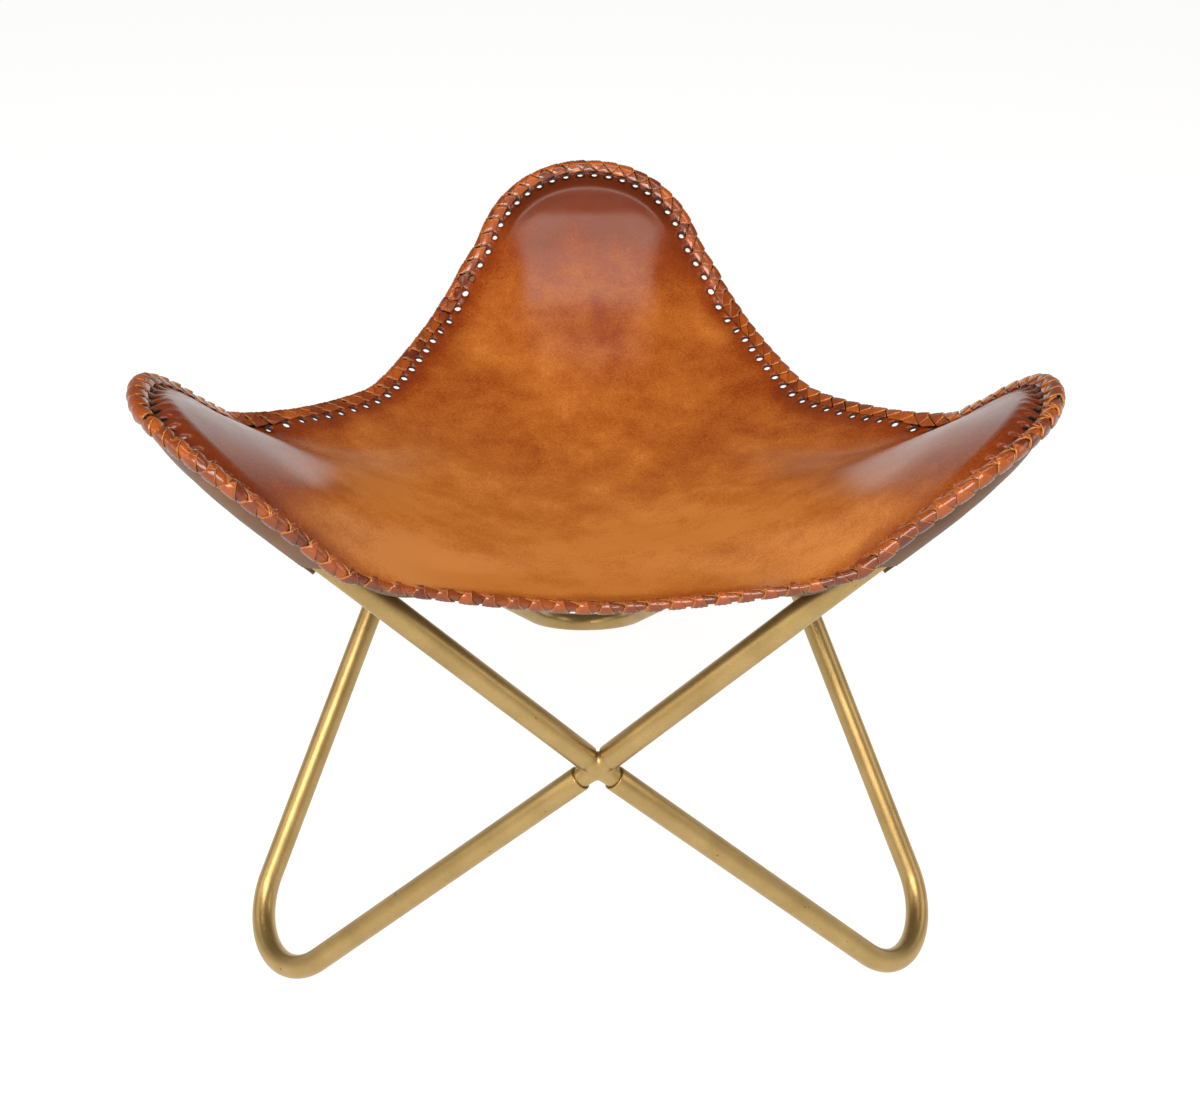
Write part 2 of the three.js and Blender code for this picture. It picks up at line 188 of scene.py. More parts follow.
def noiseOf(tree, vector, scale, detail=3.0, roughness=0.55):
    inputs = {"Vector": vector, "Scale": scale, "Detail": detail, "Roughness": roughness}
    return addNode(tree, "ShaderNodeTexNoise", inputs=inputs).outputs["Fac"]


def remap(tree, value, fromLow, fromHigh, toLow, toHigh):
    inputs = {"Value": value, "From Min": fromLow, "From Max": fromHigh, "To Min": toLow, "To Max": toHigh}
    return addNode(tree, "ShaderNodeMapRange", inputs=inputs).outputs["Result"]


def stretch(tree, noise, low, high, span=0.2):
    # noise lies round one half: what is within the span of it is stretched from low to high
    return remap(tree, noise, 0.5 - span, 0.5 + span, low, high)


def mathOf(tree, operation, first, second):
    return addNode(tree, "ShaderNodeMath", {"operation": operation}, {0: first, 1: second}).outputs[0]


def swingOf(tree, vector, layer):
    # a layer of noise that swings a tone up and down alike
    noise = noiseOf(tree, vector, layer["scale"], layer["detail"], layer["roughness"])
    return stretch(tree, noise, -layer["swing"], layer["swing"], layer["span"])


def twoNoises(tree, coarse, fine, share):
    # the sum of two noises from 0 to 1, of which the coarse one makes its share
    return mathOf(tree, "ADD", stretch(tree, coarse, 0.0, share), stretch(tree, fine, 0.0, 1 - share))


def grainOf(tree, vector, scale, wide):
    # leather grain: cells that are 1 on their flats and fall to 0 in the creases
    inputs = {"Vector": vector, "Scale": scale}
    cells = addNode(tree, "ShaderNodeTexVoronoi", {"feature": "DISTANCE_TO_EDGE"}, inputs)
    return remap(tree, cells.outputs["Distance"], 0.0, wide, 0.0, 1.0)


def rampOf(tree, value, stops):
    node = addNode(tree, "ShaderNodeValToRGB", inputs={"Fac": value})
    elements = node.color_ramp.elements
    while len(elements) < len(stops):
        elements.new(1.0)
    for element, (position, colour) in zip(elements, stops):
        element.position = position
        element.color = (*colour, 1.0)
    return node.outputs["Color"]


def mixColour(tree, share, first, second):
    # the mix node's colours are its inputs 6 and 7, after those for plain values and vectors
    colours = [c if isinstance(c, bpy.types.NodeSocket) else (*c, 1.0) for c in (first, second)]
    inputs = {"Factor": share, 6: colours[0], 7: colours[1]}
    return addNode(tree, "ShaderNodeMix", {"data_type": "RGBA"}, inputs).outputs[2]


def bumpOf(tree, height, bump, under=None):
    distance, strength = bump
    inputs = {"Height": height, "Distance": distance, "Strength": strength}
    if under is not None:
        inputs["Normal"] = under
    return addNode(tree, "ShaderNodeBump", inputs=inputs).outputs["Normal"]


def objectCoords(tree):
    return addNode(tree, "ShaderNodeTexCoord").outputs["Object"]


def attributeOf(tree, name):
    return addNode(tree, "ShaderNodeAttribute", {"attribute_name": name}).outputs["Fac"]


# In the finishes' dictionaries a bump is its depth and strength, a pair of roughnesses is what a noise
# runs between, and sockets holds what is the same all over

goldCoat = {
    "light": (0.53, 0.368, 0.148),
    "dark": (0.365, 0.242, 0.09),
    "scuff": (0.17, 0.11, 0.05),
    "cloudScale": 38.0,
    "cloudShare": 0.6,
    "flakeScale": 1400.0,
    "scuffScale": 150.0,
    "scuffFrom": (0.71, 0.75),
    "scuffCover": 0.8,
    "peelScale": 1400.0 / 3,
    "peelBump": (0.00012, 0.35),
    "roughness": (0.3, 0.44),
    "sockets": {"Metallic": 0.85},
}


def makeGoldCoat():
    finish, tree, shader = newFinish("antique_gold_coat", goldCoat["sockets"])
    coords = objectCoords(tree)
    cloud = noiseOf(tree, coords, goldCoat["cloudScale"])
    flake = noiseOf(tree, coords, goldCoat["flakeScale"], detail=1.0)
    tone = twoNoises(tree, cloud, flake, goldCoat["cloudShare"])
    base = mixColour(tree, tone, goldCoat["dark"], goldCoat["light"])
    scuffs = noiseOf(tree, coords, goldCoat["scuffScale"], detail=2.0)
    scuffs = remap(tree, scuffs, *goldCoat["scuffFrom"], 0.0, goldCoat["scuffCover"])
    peel = noiseOf(tree, coords, goldCoat["peelScale"], detail=2.0)
    setInputs(tree, shader, {
        "Base Color": mixColour(tree, scuffs, base, goldCoat["scuff"]),
        "Roughness": stretch(tree, flake, *goldCoat["roughness"], span=0.3),
        "Normal": bumpOf(tree, peel, goldCoat["peelBump"]),
    })
    return finish


tanLeather = {
    "stops": [
        # the first stop, near black, is the painted shade under the lacing
        (0.0, (0.03, 0.004, 0.001)),
        (0.1, (0.175, 0.026, 0.003)),
        (0.34, (0.265, 0.046, 0.003)),
        (0.7, (0.45, 0.128, 0.017)),
        (1.0, (0.63, 0.228, 0.046)),
    ],
    "leastTone": 0.12,
    "patch": {"scale": 11.0, "detail": 4.0, "roughness": 0.55, "span": 0.25, "swing": 0.24},
    "cloud": {"scale": 42.0, "detail": 5.0, "roughness": 0.6, "span": 0.25, "swing": 0.15},
    "speck": {"scale": 650.0, "detail": 2.0, "roughness": 0.55, "span": 0.2, "swing": 0.11},
    "grainScale": 1100.0,
    "creaseWide": 0.2,
    "grainBump": (0.00004, 0.2),
    "poreScale": 1900.0,
    "poreBump": (0.00005, 0.3),
    "roughness": (0.18, 0.28),
    "sockets": {"Specular IOR Level": 0.45},
}


def makeTanLeather():
    # the leather's tone is the piece's toneAndShade attribute plus patches, clouds and specks; the attribute
    # darkens the back and the corners with painted shade, and the tone only falls below the least tone where
    # the attribute does, in the painted shade under the lacing
    finish, tree, shader = newFinish("burnished_tan_leather", tanLeather["sockets"])
    coords = objectCoords(tree)
    toneAndShade = attributeOf(tree, "toneAndShade")
    patch, cloud, speck = (swingOf(tree, coords, tanLeather[key]) for key in ("patch", "cloud", "speck"))
    tone = mathOf(tree, "ADD", mathOf(tree, "ADD", toneAndShade, speck), mathOf(tree, "ADD", patch, cloud))
    tone = mathOf(tree, "MAXIMUM", tone, mathOf(tree, "MINIMUM", toneAndShade, tanLeather["leastTone"]))
    grain = grainOf(tree, coords, tanLeather["grainScale"], tanLeather["creaseWide"])
    pores = noiseOf(tree, coords, tanLeather["poreScale"], detail=2.0)
    coarse = bumpOf(tree, grain, tanLeather["grainBump"])
    swing = tanLeather["cloud"]["swing"]
    setInputs(tree, shader, {
        "Base Color": rampOf(tree, tone, tanLeather["stops"]),
        "Roughness": remap(tree, cloud, -swing, swing, *tanLeather["roughness"]),
        "Normal": bumpOf(tree, pores, tanLeather["poreBump"], coarse),
    })
    return finish


suede = {
    "light": (0.33, 0.19, 0.105),
    "dark": (0.21, 0.115, 0.06),
    "cloudScale": 26.0,
    "cloudShare": 0.6,
    "napScale": 900.0,
    "napBump": (0.0004, 0.5),
    "sockets": {"Roughness": 0.9, "Sheen Weight": 0.25},
}


def makeSuede():
    finish, tree, shader = newFinish("flesh_side_suede", suede["sockets"])
    coords = objectCoords(tree)
    nap = noiseOf(tree, coords, suede["napScale"], detail=4.0, roughness=0.7)
    cloud = noiseOf(tree, coords, suede["cloudScale"], detail=4.0)
    tone = twoNoises(tree, cloud, nap, suede["cloudShare"])
    setInputs(tree, shader, {
        "Base Color": mixColour(tree, tone, suede["dark"], suede["light"]),
        "Normal": bumpOf(tree, nap, suede["napBump"]),
    })
    return finish


pocketLeather = {
    "light": (0.30, 0.165, 0.098),
    "dark": (0.19, 0.098, 0.055),
    "cloudScale": 30.0,
    "grainScale": 620.0,
    "creaseWide": 0.12,
    "grainBump": (0.00007, 0.4),
    "roughness": (0.4, 0.52),
}


def makePocketLeather():
    finish, tree, shader = newFinish("brown_pocket_leather", {})
    coords = objectCoords(tree)
    cloud = noiseOf(tree, coords, pocketLeather["cloudScale"], detail=5.0, roughness=0.6)
    tone = stretch(tree, cloud, 0.0, 1.0)
    grain = grainOf(tree, coords, pocketLeather["grainScale"], pocketLeather["creaseWide"])
    setInputs(tree, shader, {
        "Base Color": mixColour(tree, tone, pocketLeather["dark"], pocketLeather["light"]),
        "Roughness": stretch(tree, cloud, *pocketLeather["roughness"]),
        "Normal": bumpOf(tree, grain, pocketLeather["grainBump"]),
    })
    return finish


# the sheet's rim and the walls of its holes: near black, partly the burnished edge's own colour and partly
# painted shade in the holes and the gaps of the lacing
burnishedEdgeAndShade = {
    "sockets": {"Base Color": (0.03, 0.011, 0.006, 1), "Roughness": 0.6},
}


def makeBurnishedEdgeAndShade():
    return newFinish("burnished_edge_and_shade", burnishedEdgeAndShade["sockets"])[0]


laceLeather = {
    "deep": (0.14, 0.020, 0.004),
    "warm": (0.43, 0.09, 0.006),
    # the pale colour of the raw cut, which on the strips' sides also stands in as a painted highlight
    "cutAndHighlight": (0.60, 0.24, 0.05),
    "cutAndHighlightFrom": (0.55, 0.95),
    "cutAndHighlightCover": 0.75,
    "cloud": {"scale": 120.0, "detail": 3.0, "roughness": 0.55, "span": 0.25, "swing": 0.25},
    "grainScale": 900.0,
    "grainBump": (0.0001, 0.12),
    "roughness": (0.2, 0.3),
    "sockets": {"Coat Weight": 0.4, "Coat Roughness": 0.08},
}


def makeLaceLeather():
    # each strip has a tone of its own; the ends that show a cut are paler, and so are its sides, partly for
    # the raw cut and partly as a painted highlight along the strip's edges
    finish, tree, shader = newFinish("lace_leather_strip", laceLeather["sockets"])
    coords = objectCoords(tree)
    tone = mathOf(tree, "ADD", attributeOf(tree, "tone"), swingOf(tree, coords, laceLeather["cloud"]))
    body = mixColour(tree, tone, laceLeather["deep"], laceLeather["warm"])
    cutAndHighlight = remap(tree, attributeOf(tree, "cutAndHighlight"), *laceLeather["cutAndHighlightFrom"], 0.0, laceLeather["cutAndHighlightCover"])
    grain = noiseOf(tree, coords, laceLeather["grainScale"])
    setInputs(tree, shader, {
        "Base Color": mixColour(tree, cutAndHighlight, body, laceLeather["cutAndHighlight"]),
        "Roughness": stretch(tree, grain, *laceLeather["roughness"]),
        "Normal": bumpOf(tree, grain, laceLeather["grainBump"]),
    })
    return finish


goldFinish = makeGoldCoat()
leatherFinish = makeTanLeather()
suedeFinish = makeSuede()
pocketFinish = makePocketLeather()
edgeFinish = makeBurnishedEdgeAndShade()
laceFinish = makeLaceLeather()
print("finishes made")


# Bent tubes. In a corner's own frame the corner points along +X, and its crosses lie at 60 degrees
# to either side. A tube is a V in one plane: two straight legs and a round bend.

tubeSizes = {
    "radius": 0.008,
    "bore": 0.0068,
    "lip": 0.0004,
    "crossReach": 0.169,
    "crossHeight": 0.2095,
    "upperSetback": 0.0093,
    "lowerSetback": 0.0142,
    "topReach": 0.2673,
    "topHeight": 0.4212,
    "topBend": 0.0655,
    "footReach": 0.2627,
    "footHeight": 0.0076,
    "footBend": 0.0495,
    "around": 48,
    "bendStations": 49,
    "legStations": 9,
    "lipStations": 4,
}
across = np.array([0.0, 1.0, 0.0])
mirrorAcross = np.array([1, -1, 1])
halfTurn = math.pi / 3


def bendOf(reach, height, radius):
    # a V in the plane through both crosses and the apex: an arc of the radius through the apex, and the
    # two lines from the crosses that touch it
    middle = np.array([tubeSizes["crossReach"] * math.cos(halfTurn), 0, tubeSizes["crossHeight"]])
    toApex = np.array([reach, 0, height]) - middle
    apexDistance = np.linalg.norm(toApex)
    outward = toApex / apexDistance
    span = tubeSizes["crossReach"] * math.sin(halfTurn)
    toCenter = apexDistance - radius
    slope = radius / span
    rest = 1 - slope ** 2
    cornerDistance = (toCenter + slope * math.sqrt(toCenter ** 2 + rest * span ** 2)) / rest
    halfAngle = math.atan2(span, cornerDistance)
    return {
        "middle": middle,
        "outward": outward,
        "apexDistance": apexDistance,
        "radius": radius,
        "halfAngle": halfAngle,
        "normal": np.array([-outward[2], 0, outward[0]]),
        "center": middle + outward * toCenter,
        "sweep": math.pi / 2 - halfAngle,
        "corner": middle + outward * cornerDistance,
        "legLength": math.hypot(span, cornerDistance) - radius / math.tan(halfAngle),
    }


topBend = bendOf(tubeSizes["topReach"], tubeSizes["topHeight"], tubeSizes["topBend"])
footBend = bendOf(tubeSizes["footReach"], tubeSizes["footHeight"], tubeSizes["footBend"])


def legDirection(bend, side):
    # the way down a straight leg from the bend, on its +Y side (1) or its -Y side (-1)
    return -math.cos(bend["halfAngle"]) * bend["outward"] + side * math.sin(bend["halfAngle"]) * across


def axisAt(bend, angle, run):
    # the tube's axis at an angle round its bend, then a run down the leg past it, and the way out
    angle = np.asarray(angle, float)[..., None]
    outward = np.cos(angle) * bend["outward"] + np.sin(angle) * across
    leg = np.where(angle < 0, legDirection(bend, -1), legDirection(bend, 1))
    return bend["center"] + bend["radius"] * outward + np.asarray(run)[..., None] * leg, outward


def makeTube(name, bend, setback, turn, floor=None):
    # a circle carried along the V, out on the skin and back through the bore, with rounded ends
    lip = tubeSizes["lip"]
    end = bend["legLength"] - setback
    legRun = np.linspace(end - lip, 0, tubeSizes["legStations"])
    bendAngle = np.linspace(-bend["sweep"], bend["sweep"], tubeSizes["bendStations"])
    skinAngle = np.concatenate([np.full(legRun.size - 1, -bend["sweep"]), bendAngle,
                                np.full(legRun.size - 1, bend["sweep"])])
    skinRun = np.concatenate([legRun[:-1], np.zeros(bendAngle.size), legRun[-2::-1]])
    quarter = np.linspace(0, math.pi / 2, tubeSizes["lipStations"])
    lipRun = np.concatenate([end - lip + lip * np.sin(quarter), end - lip + lip * np.sin(quarter[::-1])])
    lipRadius = np.concatenate([tubeSizes["radius"] - lip + lip * np.cos(quarter),
                                tubeSizes["bore"] + lip - lip * np.cos(quarter[::-1])])
    angle = np.concatenate([skinAngle, np.full(lipRun.size, bend["sweep"]), skinAngle[::-1],
                            np.full(lipRun.size, -bend["sweep"])])
    run = np.concatenate([skinRun, lipRun, skinRun[::-1], lipRun[::-1]])
    radius = np.concatenate([np.full(skinRun.size, tubeSizes["radius"]), lipRadius,
                             np.full(skinRun.size, tubeSizes["bore"]), lipRadius[::-1]])
    axis, outward = axisAt(bend, angle, run)
    turnAround = np.linspace(0, 2 * math.pi, tubeSizes["around"], endpoint=False)[None, :, None]
    ring = np.cos(turnAround) * outward[:, None] + np.sin(turnAround) * bend["normal"]
    points = place(axis[:, None] + radius[:, None, None] * ring, turn)
    if floor is not None:
        points[..., 2] = np.maximum(points[..., 2], floor)
    faces = gridFaces(*points.shape[:2], wrapRows=True, wrapColumns=True)
    return makePiece(f"{name}_skin", points, faces, [goldFinish], [name],
                     mergeWithin=1e-6)


for corner, turn in cornerTurns.items():
    makeTube(f"upper_tube_{corner}", topBend, tubeSizes["upperSetback"], turn)
    makeTube(f"foot_tube_{corner}", footBend, tubeSizes["lowerSetback"], turn, floor=0.0)
print("tubes made")


# Welded crosses: four spigots whose skins flow into one another where they meet

crossSizes = {
    "radius": 0.0065,
    "depth": 0.042,
    "chamfer": 0.0015,
    "fillet": 0.0009,
    "searchTo": 0.006,
    "halvings": 24,
    "ringPoints": 24,
    "rows": 18,
    "spread": 1.7,
}
crossCenter = np.array([tubeSizes["crossReach"], 0, tubeSizes["crossHeight"]])


def armDirections():
    # from a cross to the points where the straight legs of its four tubes would meet, in the side's frame
    arms = []
    for bend, side in ((topBend, 1), (topBend, -1), (footBend, -1), (footBend, 1)):
        reach = bend["corner"][0]
        corner = np.array([reach * math.cos(halfTurn), side * reach * math.sin(halfTurn), bend["corner"][2]])
        arms.append(unit(corner - crossCenter))
    return np.array(arms)


def crossDistance(points, arms):
    # smooth least distance to the four half axes, less the spigot's radius
    along = np.maximum(points @ arms.T, 0)
    gap = np.linalg.norm(points[..., None, :] - along[..., None] * arms, axis=-1)
    fillet = crossSizes["fillet"]
    return -fillet * np.log(np.exp(-gap / fillet).sum(-1)) - crossSizes["radius"]


def reachSkin(start, direction, arms):
    # how far from each start, along its direction, the skin lies, by halving an interval
    low = np.zeros(start.shape[:-1])
    high = np.full(start.shape[:-1], crossSizes["radius"] + crossSizes["searchTo"])
    for step in range(crossSizes["halvings"]):
        middle = (low + high) / 2
        inside = crossDistance(start + middle[..., None] * direction, arms) < 0
        low = np.where(inside, middle, low)
        high = np.where(inside, high, middle)
    return (low + high) / 2


def makeCross(side, turn):
    # each arm's skin starts on the half planes that it shares with its neighbours and runs to its end
    arms = armDirections()
    facing = np.array([1.0, 0.0, 0.0])
    lift = np.linspace(math.pi / 2, -math.pi / 2, crossSizes["ringPoints"] + 1)[:, None]
    setbacks = [tubeSizes["upperSetback"]] * 2 + [tubeSizes["lowerSetback"]] * 2
    points = []
    faces = []
    for i, arm in enumerate(arms):
        halves = []
        for neighbour in (arms[(i + 1) % 4], arms[i - 1]):
            away = unit(arm + neighbour)
            spread = unit(np.cos(lift) * away + np.sin(lift) * facing)
            halves.append(reachSkin(np.zeros_like(spread), spread, arms)[:, None] * spread)
        ring = np.concatenate([halves[0][:-1], halves[1][:0:-1]])
        start = ring @ arm
        around = unit(ring - start[:, None] * arm)
        length = setbacks[i] + crossSizes["depth"]
        share = np.linspace(0, 1, crossSizes["rows"])[:, None] ** crossSizes["spread"]
        along = start + (length - crossSizes["chamfer"] - start) * share
        onAxis = along[..., None] * arm
        wide = reachSkin(onAxis, np.broadcast_to(around, onAxis.shape), arms)
        wide[0] = np.linalg.norm(ring - start[:, None] * arm, axis=1)
        rows = onAxis + wide[..., None] * around
        narrow = crossSizes["radius"] - crossSizes["chamfer"]
        tip = np.stack([length * arm + narrow * around, np.broadcast_to(length * arm, around.shape)])
        rows = np.concatenate([rows, tip])
        faces.append(gridFaces(*rows.shape[:2], wrapColumns=True) + sum(len(p) for p in points))
        points.append(rows.reshape(-1, 3))
    points = place(np.concatenate(points) + crossCenter, turn)
    name = f"cross_joint_{side}"
    return makePiece(f"{name}_weld", points, np.concatenate(faces), [goldFinish], [name],
                     mergeWithin=1e-5)


for side, turn in sideTurns.items():
    makeCross(side, turn)
print("crosses made")


# Leather sheets. Half a corner's edge runs from the tip round the upper bend and down the leg to the
# pocket's mouth, then along a free curve to the middle of a side.

slingSizes = {
    "thickness": 0.0024,
    "seatHeight": 0.300,
    "sideReach": 0.1813,
    "sideHeight": 0.3346,
    "bowlExponent": 2.2,
    "pocketDepth": 0.0824,
    "tipMargin": 0.0244,
    "shoulderMargin": 0.0228,
    "mouthMargin": 0.0282,
    "tubeGap": 0.0003,
    "tipLift": 0.001,
    "mouthLift": 0.0055,
    "liftOver": 0.7,
    "lean": {"back": 0.0, "left": 0.003, "right": -0.003},
    "leanOver": 0.06,
    "leanFade": 0.09,
    "leanInset": 0.0275,
    "tipFall": {"back": (0.0, 0.0), "left": (0.0045, 0.0025), "right": (0.0045, 0.002)},
    "tipFade": 0.075,
    "hollow": {"back": 0.003, "left": 0.0, "right": 0.0},
    "hollowRun": (0.0, 0.025, 0.085, 0.14),
    "hollowWide": 0.05,
    "hollowSpread": 0.5,
    "hollowRound": 1.5,
    "flatBottom": 0.13,
    "evening": 1.3,
    "seamGap": 0.0004,
    "leave": math.radians(90),
    "mouthHandle": 0.0196,
    "sideHandle": 0.0257,
    "riseShare": 0.4,
    "laceInset": 0.011,
    "stitchesPerSide": 46,
    "columnsPerStitch": 6,
    "holeInset": 0.0105,
    "holeRadius": 0.0027,
    "holeRowStep": 0.0019,
    "wrapRows": 11,
    "bowlRows": 30,
    "bowlSpread": 1.25,
    "bowlStride": 3,
    "smoothing": 240,
    "pull": 0.8,
    "seamPull": 0.4,
    "pucker": 0.0001,
    "puckerFade": 0.012,
    "edgeSamples": 1500,
}
leatherRadius = tubeSizes["radius"] + slingSizes["tubeGap"] + slingSizes["thickness"] / 2
layerStep = slingSizes["thickness"] + slingSizes["seamGap"]
seatHeight = slingSizes["seatHeight"]

bendLength = topBend["radius"] * topBend["sweep"]
mouthDistance = topBend["apexDistance"] - slingSizes["pocketDepth"]
bendEndDistance = topBend["apexDistance"] - topBend["radius"] * (1 - math.cos(topBend["sweep"]))
mouthRun = (bendEndDistance - mouthDistance) / math.cos(topBend["halfAngle"])


def seamMargin(along):
    # the edge's distance outside the tube's axis swings from tip to shoulder to mouth
    tip, shoulder, mouth = (slingSizes[key] for key in ("tipMargin", "shoulderMargin", "mouthMargin"))
    phase = math.pi * along ** 2
    level = (tip + mouth + 2 * shoulder) / 4
    return level + (tip - mouth) / 2 * np.cos(phase) + (tip + mouth - 2 * shoulder) / 4 * np.cos(2 * phase)


def seamLift(along):
    # how far the seam lies above the plane of the tube's axis, from the tip to the mouth
    rise = smoothStep(0, slingSizes["liftOver"], along)
    return slingSizes["tipLift"] + (slingSizes["mouthLift"] - slingSizes["tipLift"]) * rise


def pocketAxis(along):
    # the tube's axis and the way out from the bend, from the tip (0) to the pocket's mouth (1)
    length = along * (bendLength + mouthRun)
    angle = np.minimum(length / topBend["radius"], topBend["sweep"])
    return axisAt(topBend, angle, np.maximum(length - bendLength, 0))


def pocketEdge(along):
    # the seam's edge lies a margin out from the tube's axis and a lift above its plane
    axis, outward = pocketAxis(along)
    return axis + seamMargin(along)[..., None] * outward + seamLift(along)[..., None] * topBend["normal"]


def freeEdge(share):
    # cubic curve from the mouth, leaving along the leg, to the middle of a side
    mouth = pocketEdge(np.array([1.0]))[0]
    reach = slingSizes["sideReach"]
    side = np.array([reach * math.cos(halfTurn), reach * math.sin(halfTurn), slingSizes["sideHeight"]])
    alongSide = np.array([-math.sin(halfTurn), math.cos(halfTurn), 0])
    first = mouth + legDirection(topBend, 1) * slingSizes["mouthHandle"]
    second = side - alongSide * slingSizes["sideHandle"]
    t = share[..., None]
    fromMouth = (1 - t) ** 3 * mouth + 3 * (1 - t) ** 2 * t * first
    return fromMouth + 3 * (1 - t) * t ** 2 * second + t ** 3 * side


def spokePoint(start, share):
    # down the straight plan line from a rim point to the bottom of the bowl
    height = seatHeight + (start[..., 2] - seatHeight) * share ** slingSizes["bowlExponent"]
    return np.stack([start[..., 0] * share, start[..., 1] * share, height], -1)


def runAlong(points):
    # the length along a line of points, from the first to each of them
    return np.concatenate([[0], np.cumsum(np.linalg.norm(np.diff(points, axis=0), axis=1))])


edgeSteps = np.linspace(0, 1, slingSizes["edgeSamples"])
halfEdge = np.concatenate([pocketEdge(edgeSteps), freeEdge(edgeSteps[1:])])
halfPlace = np.concatenate([edgeSteps, 1 + edgeSteps[1:]])
halfLengths = runAlong(halfEdge)
pocketLength = halfLengths[edgeSteps.size - 1]
halfLength = halfLengths[-1]
halfColumns = slingSizes["stitchesPerSide"] * slingSizes["columnsPerStitch"] // 2
columnLengths = np.linspace(0, halfLength, halfColumns + 1)
columnStep = columnLengths[1]
tipColumn = halfColumns - 1
columnPlaces = np.interp(columnLengths, halfLengths, halfPlace)
stitchPitch = 2 * halfLength / slingSizes["stitchesPerSide"]
print(f"edge {6 * halfLength:.3f} m, stitch pitch {stitchPitch * 1000:.2f} mm")


def wrapTouch(margin, drop):
    # where leather from the end of the seam meets the round of the tube, and how far off that is
    seamEnd = margin - slingSizes["laceInset"]
    toSeam = np.hypot(seamEnd, drop)
    touch = np.arctan2(drop, seamEnd) + np.arccos(leatherRadius / toSeam)
    return seamEnd, touch, np.sqrt(toSeam ** 2 - leatherRadius ** 2)


def leaveInset(margin, leave, drop):
    # how far from the edge the leather leaves the tube, at an angle round it
    seamEnd, touch, slope = wrapTouch(margin, drop)
    return slingSizes["laceInset"] + slope + leatherRadius * (leave - touch)


def wrapSection(inset, margin, drop):
    # how far out from the tube's axis and above its plane the leather lies at each inset from the edge:
    # flat in the seam, straight to the tube, then round it
    seamEnd, touch, slope = wrapTouch(margin, drop)
    past = inset - slingSizes["laceInset"]
    share = past / slope
    turn = touch + (past - slope) / leatherRadius
    where = [past <= 0, past <= slope]
    out = np.select(where, [margin - inset, seamEnd + (leatherRadius * np.cos(touch) - seamEnd) * share],
                    leatherRadius * np.cos(turn))
    up = np.select(where, [drop + 0 * past, drop + (leatherRadius * np.sin(touch) - drop) * share],
                   leatherRadius * np.sin(turn))
    return out, up


# Each hole is punched in a block of four by four points, from these first rows and columns on
firstHoleRow = 3
firstHoleColumn = 1
blockPoints = 4
blockMiddle = (blockPoints - 1) / 2
holeRows = slingSizes["holeInset"] + slingSizes["holeRowStep"] * (np.arange(blockPoints) - blockMiddle)
seamRows = np.concatenate([np.linspace(0, holeRows[0], firstHoleRow + 1)[:-1], holeRows])
bandCount = len(seamRows) + slingSizes["wrapRows"]


def bandInsets(margin, leave, drop):
    # each column's row places: the same in the seam, then even steps to where it leaves the tube
    last = leaveInset(margin, leave, drop)[:, None]
    share = np.linspace(0, 1, slingSizes["wrapRows"] + 1)[1:]
    seam = np.broadcast_to(seamRows, (len(margin), len(seamRows)))
    return np.concatenate([seam, seamRows[-1] + (last - seamRows[-1]) * share], axis=1)


def halfSling():
    # columns of points from the tip to the middle of a side, each from the edge to the bowl's bottom
    along = np.minimum(columnPlaces, 1)
    axis, outward = pocketAxis(along)
    margin = seamMargin(along)
    lift = seamLift(along)
    inset = bandInsets(margin, slingSizes["leave"], lift)
    out, up = wrapSection(inset, margin[:, None], lift[:, None])
    past = np.maximum(columnLengths - pocketLength, 0)
    riding = axis[:, None] + out[..., None] * outward[:, None] + up[..., None] * topBend["normal"]
    riding = riding + past[:, None, None] * legDirection(topBend, 1)
    free = freeEdge(np.maximum(columnPlaces - 1, 0))
    edge = np.where((columnPlaces > 1)[:, None], free, pocketEdge(along))
    reach = np.hypot(edge[:, 0], edge[:, 1])
    rim = spokePoint(edge[:, None], 1 - inset / reach[:, None])
    rise = smoothStep(0, slingSizes["riseShare"], past / (halfLength - pocketLength))[:, None, None]
    band = riding + (rim - riding) * rise
    band[:, 0] = edge
    share = np.linspace(1, 0, slingSizes["bowlRows"] + 1)[1:] ** slingSizes["bowlSpread"]
    return np.concatenate([band, spokePoint(band[:, -1:], share[None, :])], axis=1)


def clearTube(points):
    # raises leather that sinks into the tube back onto its round
    fromCenter = points - topBend["center"]
    ahead = fromCenter @ topBend["outward"]
    aside = np.abs(fromCenter[..., 1])
    angle = np.clip(np.arctan2(aside, ahead), 0, topBend["sweep"])
    out = np.cos(angle) * ahead + np.sin(angle) * aside - topBend["radius"]
    needed = np.sqrt(np.maximum(leatherRadius ** 2 - out ** 2, 0))
    rise = np.where(np.abs(out) < leatherRadius, np.maximum(needed - fromCenter @ topBend["normal"], 0), 0)
    return points + rise[..., None] * topBend["normal"]


def turned(points, turn):
    # the same turn with the stool's axis left at the origin
    return place(points, turn) - np.append(stoolAxis, 0)


